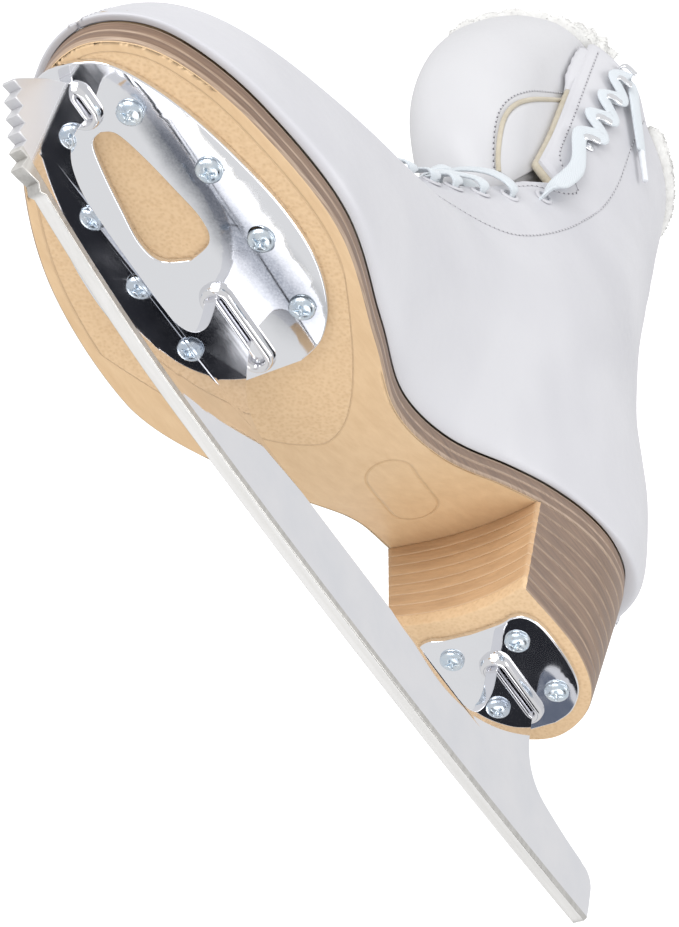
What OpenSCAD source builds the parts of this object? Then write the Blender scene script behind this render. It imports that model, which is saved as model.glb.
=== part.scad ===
// Women's figure skate for the right foot: a leather boot on a stacked heel,
// screwed to a steel blade with a front and a heel mounting plate.
// +X points to the toe, +Y to the inner side of the foot, +Z up.
// The origin is where the blade's rocker touches the ice.

/* [Blade] */
// Thickness of the runner
blade_t = 3.8; // [3.4:0.1:4.2]
// Radius of the rocker, the long curve of the running edge
rocker_r = 2438; // [2100:10:2700]
// Radius of the tighter curve behind the toe picks
spin_r = 450; // [400:10:600]
// Height of the runner's top edge above the ice
runner_h = 20.5; // [19:0.5:22]
// Number of toe pick teeth
pick_count = 6; // [5:1:7]

/* [Mounting plates] */
// Thickness of both plates
plate_t = 2; // [1.6:0.1:2.4]
// Height of the front plate's underside at the back of the front plate
front_plate_z = 45.4; // [44:0.2:47]
// Rise of the front plate toward the toe, in degrees
plate_rise = 2.1; // [1.5:0.1:2.5]
// Height of the heel plate's underside
heel_plate_z = 48.9; // [48:0.1:50]
// Shank diameter of the screws
screw_d = 4; // [3.5:0.1:4.2]
// Head diameter of the screws
screw_head_d = 6.8; // [6.5:0.1:7.6]

/* [Sole and heel] */
// Thickness of the outsole
outsole_t = 4; // [3:0.5:4.5]
// Thickness of the midsole
midsole_t = 4.2; // [3.5:0.1:4.5]
// Number of lifts between the heel's top piece and the outsole
lift_count = 7; // [7:1:7]
// Thickness of the insole board
board_t = 2.4; // [2:0.2:3]

/* [Boot] */
// Thickness of the outer leather
leather_t = 2.2; // [1.8:0.1:2.4]
// Thickness of the lining
lining_t = 1.6; // [1.2:0.1:1.8]
// Depth of the lining's outer face below the boot's surface
lining_depth = 4.2; // [4.1:0.1:4.4]
// Radius of the padded collar roll
collar_r = 4.5; // [4:0.25:5]

/* [Lacing] */
// Diameter of the lace rolled round
lace_d = 2; // [1.6:0.1:2.4]
// Radius of an eyelet's flange
eyelet_r = 3.2; // [3:0.1:3.5]
// Radius of a hook's foot
hook_r = 3.4; // [3:0.1:3.6]

/* [Tongue] */
// Thickness of the tongue's leather face
tongue_face_t = 1.8; // [1.4:0.1:2]
// Thickness of the tongue's wool pad
tongue_wool_t = 4.5; // [3.5:0.25:5]
// Height of the line that the tongue's lobe bends about
tongue_hinge_z = 200; // [199:0.5:201]

/* [Hidden] */
$fn = 48;
eps = 0.01;

leather_white = "#e6e6ea";
sole_tan = "#dcb482";
edge_brown = "#7d6350";
steel_bright = "#c8ccd2";

// ---- curves -------------------------------------------------------------

function clamp01(x) = max(0, min(1, x));
function smooth(x) = let (c = clamp01(x)) c * c * (3 - 2 * c);

// One span of a Catmull-Rom curve
function span(p0, p1, p2, p3, f) = 0.5 * (2 * p1 + (p2 - p0) * f
    + (2 * p0 - 5 * p1 + 4 * p2 - p3) * f * f + (3 * p1 - p0 - 3 * p2 + p3) * f * f * f);

// A curve through evenly spaced values or points, t from 0 to 1
function spline(p, t) = let (n = len(p) - 1, u = clamp01(t) * n, i = min(n - 1, floor(u)))
    span(p[max(0, i - 1)], p[i], p[i + 1], p[min(n, i + 2)], u - i);

// The same on a closed list, u counted in points
function ring_spline(p, u) = let (n = len(p), i = floor(u))
    span(p[(i - 1 + n) % n], p[i % n], p[(i + 1) % n], p[(i + 2) % n], u - i);

function unit(v) = v / norm(v);

// Points of an arc in the plane of the side view
function arc(c, r, a0, a1, n = 8) =
    [for (i = [0:n]) let (a = a0 + (a1 - a0) * i / n) c + r * [cos(a), sin(a)]];

// ---- sole: outline and curved underside ------------------------------------

// Outline of the right sole from the toe round the inner side, the heel and the outer side
sole_pts = [[174, 6], [170, 20], [158, 30], [135, 37.5], [100, 40.5], [66, 31], [38, 21.5],
    [5, 21], [-30, 25.5], [-62, 27.5], [-84, 19.5], [-94, 0], [-84, -19.5], [-62, -28],
    [-30, -27], [5, -23], [40, -33.5], [72, -45], [113, -42.5], [147, -28.5], [167, -10]];
heel_index = 11;
function sole_edge(a) = let (n = len(sole_pts),
    u = a <= 180 ? a / 180 * heel_index : heel_index + (a - 180) / 180 * (n - heel_index))
    ring_spline(sole_pts, u >= n ? u - n : u);

// Underside of the outsole: flat on the front plate, then up the waist to the heel seat
ball_x = 72;
seat_x = -96;
plate_x0 = 68;
waist_h = [0, 2.3, 11.3, 27, 39, 44.8, 49];
function plate_top(x) = front_plate_z + plate_t / cos(plate_rise)
    + tan(plate_rise) * (x - plate_x0);
function sole_z(x) = x >= ball_x ? plate_top(x)
    : plate_top(ball_x) + spline(waist_h, (ball_x - x) / (ball_x - seat_x));
boot_gap = 0.25;
function shoe_z(x) = sole_z(x) + outsole_t + midsole_t + boot_gap;

side_steps = 40;
slab_x0 = -130;
slab_x1 = 200;
function slab_line(lift) = [for (i = [0:side_steps])
    let (x = slab_x0 + (ball_x - slab_x0) * i / side_steps) [x, sole_z(x) + lift]];
// Everything between two heights above the outsole's underside
module curved_slab(low, high, half_w = 60) {
    line_low = concat(slab_line(low), [[slab_x1, sole_z(slab_x1) + low]]);
    line_high = concat(slab_line(high), [[slab_x1, sole_z(slab_x1) + high]]);
    flip = [for (i = [len(line_high) - 1:-1:0]) line_high[i]];
    rotate([90, 0, 0]) linear_extrude(2 * half_w, center = true) polygon(concat(line_low, flip));
}
sole_sides = 72;
module sole_prism(inset = 0) {
    p = [for (i = [0:sole_sides - 1]) sole_edge(i * 360 / sole_sides)];
    n = len(p);
    q = [for (i = [0:n - 1]) let (d = unit(p[(i + 1) % n] - p[(i - 1 + n) % n]))
        p[i] + inset * [-d[1], d[0]]];
    linear_extrude(160) polygon(q);
}

// ---- blade ---------------------------------------------------------------

tail_x = -115.5;
spin_x = 95;
runner_x1 = 160;
function edge_z(x) = x * x / (2 * rocker_r) + (x > spin_x ? (x - spin_x) * (x - spin_x) / (2 * spin_r) : 0);
top_tooth = [182.2, 28.8];
drag_pick = [169.8, 9.4];
function front_under(x) = plate_top(x) - plate_t / cos(plate_rise);

module blade_side() {
    runner = [for (x = [tail_x:5.5:runner_x1]) [x, edge_z(x)]];
    teeth = [for (i = [0:pick_count - 1])
        let (tip = drag_pick + (top_tooth - drag_pick) * i / (pick_count - 1))
        each [tip + [-3.4, 0.6], tip]];
    front_edge = [top_tooth + [-14.4, 18.3], [166, front_under(166)]];
    window = [[155, front_under(155)], [158.6, 40], [159, 33], [156.6, 27], [150, 23], [140, 21.8],
        [118, 21], [108.5, 21.2], [102, 24.6], [98, 30.5], [97.2, 37], [98, front_under(98)]];
    front_post = [[81, front_under(81)], [79.5, 36], [77.5, 29], [73.5, 23.6], [66, runner_h]];
    rear_post = [[-41, runner_h], [-46.5, 24.5], [-50, 31], [-51.8, 39], [-51.6, heel_plate_z],
        [-73, heel_plate_z], [-73.8, 36], [-76, 30], [-79.6, 26], [-84.5, 23.6], [-92, 22.2]];
    tail = concat([[-109, 20.4]], arc([-111.4, 14.6], 5.4, 80, 180), [[-117, 8]]);
    polygon(concat(runner, [[163, 10.8]], teeth, front_edge, window, front_post, rear_post, tail));
}
module blade() {
    color(steel_bright) rotate([90, 0, 0]) linear_extrude(blade_t, center = true) blade_side();
}

// ---- plates and screws ----------------------------------------------------

front_half = [[171.5, 0], [170.6, 6], [167, 13], [158.5, 19], [146, 24.3], [130, 28.5], [112, 31.3],
    [96, 30.8], [82, 26], [73, 18.5], [69.2, 10]];
heel_half = [[-39.8, 0], [-39.2, 9], [-38, 14], [-39.6, 18], [-46, 20.3], [-60, 20.5], [-70.5, 18.2],
    [-78, 12], [-81, 5]];
front_screws = [[153, 10.7], [130.4, 20], [107, 21], [84.3, 19.6]];
heel_screws = [[-46.7, 10.8], [-68.9, 11.7]];
slot_screw = 2;
slot_half = 1.4;
// Both sides of an outline that is given on +Y only, drawn smooth
module mirrored_outline(half) {
    n = len(half) - 1;
    side = [for (i = [0:3 * n]) spline(half, i / (3 * n))];
    polygon(concat(side, [for (i = [len(side) - 1:-1:0]) if (side[i][1] > eps) [side[i][0], -side[i][1]]]));
}
module both_sides() {
    children();
    mirror([0, 1, 0]) children();
}
// Places its child under the front plate, square to it
module on_front_plate(x, y) {
    translate([x, y, front_under(x)]) rotate([0, -plate_rise, 0]) children();
}
// The rounded opening in the front plate that shows the sole
module plate_window() {
    half = [[151, 0], [149, 3.6], [141, 6], [130, 8], [118.5, 9.6], [111.5, 7.6], [108.5, 0]];
    mirrored_outline(half);
}
rib_w = 3.4;
rib_h = 3;
// A pressed rib beside the blade's post
module rib(length) {
    hull_r = rib_w / 2;
    translate([0, 0, -rib_h]) {
        translate([-length / 2, -hull_r, 0]) cube([length, rib_w, rib_h]);
        for (s = [-1, 1]) translate([s * length / 2, 0, 0]) cylinder(r = hull_r, h = rib_h);
    }
}
module front_plate() {
    color(steel_bright) difference() {
        translate([plate_x0, 0, front_under(plate_x0)]) rotate([0, -plate_rise, 0])
            translate([-plate_x0, 0, 0]) union() {
                linear_extrude(plate_t) difference() {
                    mirrored_outline(front_half);
                    plate_window();
                }
                both_sides() translate([84, blade_t / 2 + rib_w / 2 + 0.3, 0]) rib(26);
                both_sides() translate([160, blade_t / 2 + rib_w / 2 + 0.3, 0]) rib(8);
            }
        for (i = [0:len(front_screws) - 1]) both_sides()
            for (s = i == slot_screw ? [-slot_half, 0, slot_half] : [0])
                on_front_plate(front_screws[i][0] + s, front_screws[i][1])
                    translate([0, 0, -1]) cylinder(d = screw_d + 0.2, h = plate_t + 2);
    }
}
module heel_plate() {
    color(steel_bright) difference() {
        translate([0, 0, heel_plate_z]) union() {
            linear_extrude(plate_t) mirrored_outline(heel_half);
            both_sides() translate([-63, blade_t / 2 + rib_w / 2 + 0.3, 0]) rib(22);
        }
        for (p = heel_screws) both_sides()
            translate([p[0], p[1], heel_plate_z - 1]) cylinder(d = screw_d + 0.2, h = plate_t + 2);
    }
}
screw_tip = 2;
screw_spare = 0.4;
screw_len = plate_t + outsole_t + midsole_t - screw_spare;
head_h = 2.2;
// Pan head with a cross recess, head down and shank up
module screw() {
    difference() {
        union() {
            rotate_extrude() polygon([[0, -head_h], [screw_head_d / 2 - 1.4, -head_h],
                [screw_head_d / 2 - 0.4, -head_h + 0.7], [screw_head_d / 2, 0], [0, 0]]);
            cylinder(d = screw_d, h = screw_len - screw_tip);
            translate([0, 0, screw_len - screw_tip]) cylinder(d1 = screw_d, d2 = 1, h = screw_tip);
        }
        for (a = [0, 90]) rotate([0, 0, a]) translate([-1.9, -0.45, -head_h - 1]) cube([3.8, 0.9, 2.2]);
    }
}
module front_plate_screws() {
    color("silver") for (p = front_screws) both_sides()
        on_front_plate(p[0], p[1]) rotate([0, 0, 7 * p[0]]) screw();
}
module heel_plate_screws() {
    color("silver") for (p = heel_screws) both_sides()
        translate([p[0], p[1], heel_plate_z]) rotate([0, 0, 5 * p[0]]) screw();
}
module front_screw_holes() {
    for (p = front_screws) both_sides() on_front_plate(p[0], p[1]) cylinder(d = screw_d, h = screw_len + eps);
}
module heel_screw_holes() {
    for (p = heel_screws) both_sides()
        translate([p[0], p[1], heel_plate_z]) cylinder(d = screw_d, h = screw_len + eps);
}

// ---- sole, heel and insole --------------------------------------------------

module outsole() {
    color(sole_tan) difference() {
        intersection() {
            sole_prism();
            curved_slab(0, outsole_t);
        }
        front_screw_holes();
    }
}
shank_w = 14;
shank_t = 1.4;
shank_x0 = -70;
shank_x1 = 45;
module shank_body(extra = 0) {
    intersection() {
        translate([shank_x0, -shank_w / 2, 0]) cube([shank_x1 - shank_x0, shank_w, 200]);
        curved_slab(outsole_t + midsole_t - shank_t, outsole_t + midsole_t + extra);
    }
}
module midsole() {
    color(edge_brown) difference() {
        intersection() {
            sole_prism(0.4);
            curved_slab(outsole_t, outsole_t + midsole_t);
        }
        front_screw_holes();
        shank_body(1);
    }
}
module shank() {
    color("gray") shank_body();
}
module insole_board() {
    color("#b08c60") intersection() {
        sole_prism(6.6);
        curved_slab(outsole_t + midsole_t, outsole_t + midsole_t + board_t);
    }
}
footbed_t = 3.6;
module footbed() {
    color("#e8e4da") intersection() {
        sole_prism(8);
        curved_slab(outsole_t + midsole_t + board_t, outsole_t + midsole_t + board_t + footbed_t);
    }
}

// The heel narrows downward from the sole's own outline
heel_z0 = heel_plate_z + plate_t;
heel_fit = 0.2;
heel_layers = lift_count + 1;
breast_x = -29.5;
breast_lean = 4.5;
breast_hollow = 4;
function layer_shape(k) = let (f = (k + 0.5) / heel_layers,
    sx = 0.885 + 0.115 * f, sy = 0.87 + 0.13 * f) [sx, sy, breast_x + breast_lean * f];
function layer_z(k, x) = heel_z0 + (sole_z(x) - heel_fit - heel_z0) * k / heel_layers;
module heel_layer(k) {
    shape = layer_shape(k);
    pts = [for (i = [0:side_steps]) let (x = slab_x0 + (0 - slab_x0) * i / side_steps) x];
    low = [for (x = pts) [x, layer_z(k, x)]];
    high = [for (i = [len(pts) - 1:-1:0]) [pts[i], layer_z(k + 1, pts[i])]];
    difference() {
        intersection() {
            translate([-44 * (1 - shape[0]), 0, 0]) scale_outline(shape[0], shape[1]);
            rotate([90, 0, 0]) linear_extrude(120, center = true) polygon(concat(low, high));
        }
        translate([shape[2] + 60 - breast_hollow, 0, 0]) cylinder(r = 60, h = 200, $fn = 96);
        translate([shape[2], -60, 0]) cube([80, 120, 200]);
        heel_screw_holes();
    }
}
module scale_outline(sx, sy) {
    linear_extrude(160) polygon([for (i = [0:sole_sides - 1])
        let (p = sole_edge(i * 360 / sole_sides)) [p[0] * sx, p[1] * sy]]);
}
module heel_top_piece() {
    color(sole_tan) heel_layer(0);
}
module heel_lift(k) {
    color(edge_brown) heel_layer(k);
}

// ---- boot surface --------------------------------------------------------

// Front and back profiles and half widths of the boot, from the sole to the rim
front_profile = [[174, 56], [175.8, 63], [172, 76], [163, 87], [145, 98], [121, 105.5], [95, 118],
    [68, 138], [42, 162], [23, 191], [13, 224], [6, 259], [-1, 296]];
back_profile = [[-94, 104], [-100, 112], [-103.5, 126], [-102.5, 143], [-99.5, 160], [-95.5, 178],
    [-92.5, 196], [-89.5, 214], [-87, 232], [-85.5, 246], [-84.5, 258], [-84, 268], [-84, 276]];
width_medial = [40.5, 43, 43, 42, 40, 38, 36.5, 35, 33.5, 32, 31, 30.5, 30];
width_lateral = [45, 47, 46.5, 45, 42, 39, 36.5, 35, 33.5, 32, 31, 30.5, 30];
roundness = [2.4, 2.4, 2.4, 2.3, 2.1, 1.9, 1.8, 1.8, 1.9, 2, 2.1, 2.2, 2.2];
// How much the instep is pinched in toward the lacing
pinch = [0, 0, 0.03, 0.1, 0.17, 0.2, 0.17, 0.12, 0.06, 0.02, 0, 0, 0];
// The facings' tops stand above the padded rim
corner_rise = 10;
corner_t = 0.85;
corner_a = 92;
corner_run = 14;
// How soon the foot shape gives way to the shaft's oval
foot_share = 0.5;
foot_end = 0.3;

function power(v, e) = sign(v) * pow(abs(v), e);
// A point of the outer surface: t from the sole (0) to the rim (1),
// a in degrees from the toe over the inner side (90), the back (180) and the outer side (270)
function skin(t, a) = let (
    f = spline(front_profile, t),
    b = spline(back_profile, t),
    inner = a <= 180,
    w = spline(inner ? width_medial : width_lateral, t),
    w0 = inner ? width_medial[0] : width_lateral[0],
    e = 2 / spline(roundness, t),
    m = smooth(t / foot_share),
    o = sole_edge(a),
    toe = sole_pts[0],
    back = sole_pts[heel_index],
    along = (o[0] - back[0]) / (toe[0] - back[0]) * (1 - m) + (0.5 + 0.5 * power(cos(a), e)) * m,
    fa = inner ? a : 360 - a,
    slim = 1 - spline(pinch, t) * pow(sin(1.5 * min(120, fa)), 2),
    y = (o[1] * w / w0 * (1 - m) + w * power(sin(a), e) * m) * slim,
    x = b[0] + (f[0] - b[0]) * along,
    z = b[1] + (f[1] - b[1]) * along,
    ground = 1 - smooth(t / foot_end),
    rise = corner_rise * smooth((corner_a - fa) / corner_run) * smooth((t - corner_t) / (1 - corner_t)))
    [x, y, z + (shoe_z(x) - z) * ground + rise];
function around(a) = a < 0 ? a + 360 : a > 360 ? a - 360 : a;
step_a = 1.5;
step_t = 0.01;
function outward(t, a) = let (
    u = max(step_t, min(1 - step_t, t)),
    across = skin(u, around(a + step_a)) - skin(u, around(a - step_a)),
    up = skin(u + step_t, around(a)) - skin(u - step_t, around(a)))
    unit(cross(across, up));
// A point at depth d below the outer surface
function boot_point(t, a, d) = skin(t, around(a)) - d * outward(t, a);

// Half angle of the throat's opening at height t: closed over the toe, then open,
// with a notch at the ankle where the facing can flex
throat = [[0, 0.15], [0.44, 0.15], [0.48, 18], [0.56, 24], [0.66, 31], [0.74, 42], [0.765, 58], [0.8, 44],
    [1, 44]];
function throat_angle(t) = lookup(t, throat);

// Rows of eyelets and hooks as [t, a] on the inner side
eyelet_rows = [[0.49, 44], [0.53, 43], [0.57, 42.5], [0.605, 43], [0.64, 45.5], [0.675, 50], [0.71, 58]];
hook_rows = [[0.852, 61], [0.892, 63.5], [0.928, 65.5], [0.96, 67.5], [0.985, 68]];
function side_angle(a, side) = side > 0 ? a : 360 - a;

function sheet_grid(t0, t1, nt, na, low, high, d) = [for (i = [0:nt])
    let (t = t0 + (t1 - t0) * i / nt, a0 = low(t), a1 = high(t))
    [for (j = [0:na]) boot_point(t, a0 + (a1 - a0) * j / na, d)]];

// A closed solid between an outer and an inner grid of points
module slab(outer, inner) {
    nt = len(outer) - 1;
    na = len(outer[0]) - 1;
    w = na + 1;
    n = (nt + 1) * w;
    quads = concat(
        [for (i = [0:nt - 1], j = [0:na - 1]) let (p = i * w + j) [p, p + w, p + w + 1, p + 1]],
        [for (i = [0:nt - 1], j = [0:na - 1]) let (p = n + i * w + j) [p, p + 1, p + w + 1, p + w]],
        [for (j = [0:na - 1]) [j, j + 1, n + j + 1, n + j]],
        [for (j = [0:na - 1]) let (p = nt * w + j) [p + 1, p, n + p, n + p + 1]],
        [for (i = [0:nt - 1]) let (p = i * w) [p + w, p, n + p, n + p + w]],
        [for (i = [0:nt - 1]) let (p = i * w + na) [p, p + w, n + p + w, n + p]]);
    tris = [for (q = quads) each [[q[0], q[1], q[2]], [q[0], q[2], q[3]]]];
    polyhedron([for (r = outer) each r, for (r = inner) each r], tris);
}
module boot_patch(t0, t1, nt, na, low, high, d0, d1) {
    slab(sheet_grid(t0, t1, nt, na, low, high, d0), sheet_grid(t0, t1, nt, na, low, high, d1));
}

// ---- boot pieces ---------------------------------------------------------

eyelet_hole_r = 2.3;
hole_reach = 9;
// The holes that the lace passes through, from outside the leather to inside the lining
module lace_holes(side) {
    for (r = eyelet_rows) on_boot(r[0], side_angle(r[1], side), hole_reach)
        cylinder(r = eyelet_hole_r, h = hole_reach + 2, $fn = 16);
}
module upper_medial() {
    color(leather_white) difference() {
        boot_patch(0, 1, 26, 20, function(t) throat_angle(t), function(t) 179.9, 0, leather_t);
        lace_holes(1);
    }
}
module upper_lateral() {
    color(leather_white) difference() {
        boot_patch(0, 1, 26, 20, function(t) 180.1, function(t) 360 - throat_angle(t), 0, leather_t);
        lace_holes(-1);
    }
}
module backstay() {
    color(leather_white) boot_patch(0.03, 1, 20, 4, function(t) 180 - 7, function(t) 180 + 7, -1.4, -0.25);
}
stiff_gap = 0.4;
stiff_0 = leather_t + stiff_gap;
stiff_1 = lining_depth - stiff_gap;
module toe_box() {
    color("#cdbfa6") boot_patch(0.02, 0.22, 6, 18, function(t) -62, function(t) 62, stiff_0, stiff_1);
}
module heel_counter() {
    color("#cdbfa6") boot_patch(0.02, 0.32, 8, 18, function(t) 118, function(t) 242, stiff_0, stiff_1);
}
eyestay_w = 42;
module eyestay(side) {
    a0 = function(t) side > 0 ? throat_angle(t) + 1 : 360 - throat_angle(t) - eyestay_w;
    a1 = function(t) side > 0 ? throat_angle(t) + eyestay_w : 360 - throat_angle(t) - 1;
    difference() {
        boot_patch(0.46, 0.97, 18, 6, a0, a1, stiff_0, stiff_1);
        lace_holes(side);
    }
}
module eyestay_medial() {
    color("#d8d2c4") eyestay(1);
}
module eyestay_lateral() {
    color("#d8d2c4") eyestay(-1);
}
module lining() {
    color("#e4dcc8") difference() {
        boot_patch(0.02, 0.985, 22, 40, function(t) throat_angle(t) + 0.6,
            function(t) 360 - throat_angle(t) - 0.6, lining_depth, lining_depth + lining_t);
        lace_holes(1);
        lace_holes(-1);
    }
}

// A round or oval tube swept along points, r across and h up
function tube_frame(p, i) = let (n = len(p), t = unit(p[min(n - 1, i + 1)] - p[max(0, i - 1)]),
    s = unit(cross(t, abs(t[2]) > 0.9 ? [1, 0, 0] : [0, 0, 1]))) [s, cross(s, t)];
module tube(p, r, h, sides) {
    n = len(p);
    pts = [for (i = [0:n - 1]) let (f = tube_frame(p, i))
        for (k = [0:sides - 1]) let (a = 360 * k / sides) p[i] + r * cos(a) * f[0] + h * sin(a) * f[1]];
    wall = [for (i = [0:n - 2], k = [0:sides - 1]) let (q = i * sides, m = (k + 1) % sides)
        each [[q + k, q + sides + m, q + sides + k], [q + k, q + m, q + sides + m]]];
    cap0 = [for (k = [1:sides - 2]) [0, k + 1, k]];
    cap1 = [for (k = [1:sides - 2]) let (q = (n - 1) * sides) [q, q + k, q + k + 1]];
    polyhedron(pts, concat(wall, cap0, cap1));
}
collar_rings = 40;
collar_a0 = 92;
collar_half_w = 3.4;
collar_gap = 0.8;
module collar_roll() {
    p = [for (i = [0:collar_rings]) boot_point(1, collar_a0 + (360 - 2 * collar_a0) * i / collar_rings, 1.2)
        + [0, 0, collar_r + collar_gap]];
    color("#efece6") tube(p, collar_half_w, collar_r, 12);
}

// ---- tongue ----------------------------------------------------------------

tongue_depth = 9.3;
tongue_pad = 4;
tongue_half = [[0.4, 50], [0.7, 50], [0.77, 32]];
module tongue_lower() {
    color(leather_white) boot_patch(0.4, 0.77, 14, 8, function(t) -lookup(t, tongue_half),
        function(t) lookup(t, tongue_half), tongue_depth, tongue_depth + tongue_pad);
}
// The lobe is a folded-out sheet, drawn level by level: the front line, the front's sideways
// shift, an oval wrap on the outer side, and on the inner side an arc that runs on straight back
// behind the facing. u goes from -1 (outer edge) to 1 (inner edge).
lobe_front = [[17, tongue_hinge_z + 1.5], [26, 217], [31, 238], [30, 260], [23.5, 281], [12, 301],
    [-4, 316]];
lobe_shift = [2, -4, -7, -7, -7, -5, -1];
outer_depth = [14, 22, 25, 26, 27, 26, 24];
outer_width = [18, 17, 18, 20, 21, 23, 26];
outer_wrap = [36, 66, 80, 86, 86, 78, 30];
inner_r = [12, 20, 23, 23, 23, 22, 22];
inner_length = [12, 46, 62, 62, 56, 50, 34];
function outer_point(v, u, d) = let (
    a = u * spline(outer_wrap, v),
    depth = spline(outer_depth, v) - d)
    [-d - depth * (1 - cos(a)), (spline(outer_width, v) - d) * sin(a)];
function inner_point(v, u, d) = let (
    r = spline(inner_r, v),
    run = u * spline(inner_length, v),
    a = min(90, run / r * 180 / PI),
    straight = max(0, run - r * PI / 2))
    [(r - d) * cos(a) - r - straight, (r - d) * sin(a)];
function lobe_point(v, u, d) = let (
    f = spline(lobe_front, v),
    p = u < 0 ? outer_point(v, u, d) : inner_point(v, u, d))
    [f[0] + p[0], spline(lobe_shift, v) + p[1], f[1]];
function lobe_grid(v0, v1, nv, u0, u1, nu, d) = [for (i = [0:nv]) let (v = v0 + (v1 - v0) * i / nv)
    [for (j = [0:nu]) lobe_point(v, u0 + (u1 - u0) * j / nu, d)]];
module lobe_patch(v0, v1, nv, u0, u1, nu, d0, d1) {
    slab(lobe_grid(v0, v1, nv, u0, u1, nu, d0), lobe_grid(v0, v1, nv, u0, u1, nu, d1));
}
module tongue_face() {
    color(leather_white) lobe_patch(0, 0.97, 16, -0.94, 0.94, 18, 0, tongue_face_t);
}
wool_gap = 0.7;
module tongue_wool() {
    color("#f0ece2") lobe_patch(0.02, 1, 16, -1, 1, 18, tongue_face_t + wool_gap,
        tongue_face_t + tongue_wool_t);
}
module tongue_patch() {
    color(leather_white) lobe_patch(0.14, 0.42, 8, 0.46, 0.74, 8, -1.3, -0.3);
}

// ---- lacing ------------------------------------------------------------------

// Puts its child on the boot's surface, +Z outward
module on_boot(t, a, d = 0) {
    p = boot_point(t, a, d);
    n = outward(t, a);
    translate(p) rotate([0, acos(n[2]), atan2(n[1], n[0])]) children();
}
module eyelet() {
    rotate_extrude() polygon([[2.1, 0], [eyelet_r, 0], [eyelet_r - 0.3, 0.6], [2.5, 0.9], [2.1, 0.5]]);
}
// Small parts stand this far off the faceted leather
flange_gap = 0.3;
module eyelets(side) {
    for (r = eyelet_rows) on_boot(r[0], side_angle(r[1], side), -flange_gap) eyelet();
}
module eyelets_medial() {
    color("#d9dadd") eyelets(1);
}
module eyelets_lateral() {
    color("#d9dadd") eyelets(-1);
}
neck_h = 3.6;
module hook() {
    cylinder(r = hook_r, h = 0.8);
    cylinder(d = 2.2, h = neck_h + 0.8);
    translate([0, 0, neck_h + 0.6]) cylinder(r = hook_r - 0.4, h = 1);
}
module hooks(side) {
    for (r = hook_rows) on_boot(r[0], side_angle(r[1], side), -flange_gap) hook();
}
module hooks_medial() {
    color(steel_bright) hooks(1);
}
module hooks_lateral() {
    color(steel_bright) hooks(-1);
}

// The lace's route as [t, a, height above the surface]. Each half starts at the middle of
// the hidden bar at the toe, crosses upward from eyelet to eyelet and weaves round the hooks
hook_pass = 2.6;
lace_up = [[0.79, 60, 3], [0.856, 55.5, hook_pass], [0.873, 66, hook_pass], [0.893, 57.5, hook_pass],
    [0.908, 68.5, hook_pass], [0.926, 60.5, hook_pass], [0.943, 70, hook_pass], [0.958, 62.5, hook_pass],
    [0.974, 71, hook_pass], [0.945, 79, hook_pass], [0.915, 88, 2.4]];
over = 3;
under = 0.55;
mouth = 2.4;
below = -7.25;
// Rise toward the middle of the throat that keeps a crossing straight
cross_rise = 0.07;
function crossing_point(from, to, f, height) = [from[0] + (to[0] - from[0]) * (1 - f) / 2
    + cross_rise * (1 - f * f), f * (f > 0 ? from[1] : to[1]), height];
// From an eyelet's mouth over the throat, under the other facing to the next eyelet
function crossing(from, to, lift) = [crossing_point(from, to, 1, mouth),
    crossing_point(from, to, 0.6, 2.4), crossing_point(from, to, 0.02, lift),
    crossing_point(from, to, -0.36, below), crossing_point(from, to, -0.7, below),
    crossing_point(from, to, -0.97, below + 0.3)];
function mirror_a(p) = [p[0], -p[1], p[2]];
rows = len(eyelet_rows);
function climb(lift) = concat([for (k = [0:rows - 2])
    for (p = crossing(eyelet_rows[k], eyelet_rows[k + 1], lift)) k % 2 == 0 ? p : mirror_a(p)],
    [[eyelet_rows[rows - 1][0], eyelet_rows[rows - 1][1], mouth]], lace_up);
bar_t = eyelet_rows[0][0];
bar_a = eyelet_rows[0][1];
bar = [[bar_t, 0.97 * bar_a, below + 0.3], [bar_t + 0.03, 0.5 * bar_a, below + 0.3],
    [bar_t + 0.04, 0, below + 0.3]];
half_b = [for (p = concat([bar[1], bar[0]], climb(under))) mirror_a(p)];
lace_route = concat([for (i = [len(half_b) - 1:-1:0]) half_b[i]], [for (i = [len(bar) - 1:-1:0]) bar[i]],
    climb(over));
function route_point(p) = boot_point(p[0], around(p[1]), -p[2]);
module lace() {
    color("white") tube([for (p = lace_route) route_point(p)], lace_d / 2, lace_d / 2, 8);
}
aglet_len = 12;
aglet_d = 2.4;
module aglets() {
    color("white") for (s = [1, -1]) {
        tip = lace_up[len(lace_up) - 1];
        last = lace_up[len(lace_up) - 2];
        p = route_point([tip[0], s * tip[1], tip[2]]);
        q = route_point([last[0], s * last[1], last[2]]);
        d = unit(p - q);
        translate(p + 2 * eps * d) rotate([0, acos(d[2]), atan2(d[1], d[0])])
            cylinder(d = aglet_d, h = aglet_len);
    }
}

blade();
front_plate();
heel_plate();
front_plate_screws();
heel_plate_screws();
outsole();
midsole();
heel_top_piece();
for (k = [1:lift_count]) heel_lift(k);
shank();
insole_board();
footbed();
upper_medial();
upper_lateral();
backstay();
toe_box();
heel_counter();
eyestay_medial();
eyestay_lateral();
lining();
collar_roll();
tongue_lower();
tongue_face();
tongue_wool();
tongue_patch();
eyelets_medial();
eyelets_lateral();
hooks_medial();
hooks_lateral();
lace();
aglets();
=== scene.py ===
"""Looks of the figure skate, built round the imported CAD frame.

Lengths are in mm and turn to metres where a mesh is made. +X to the toe, +Y to the inner side of the
foot, +Z up, origin where the blade touches the ice. Surface places are (t, a): t from the sole (0) to
the rim (1), a in degrees from the toe over the inner side; on the tongue's lobe they are (v, u).
"""
import math

import bmesh
import bpy
import numpy as np
from mathutils import Matrix, Vector
from mathutils.geometry import tessellate_polygon


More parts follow.
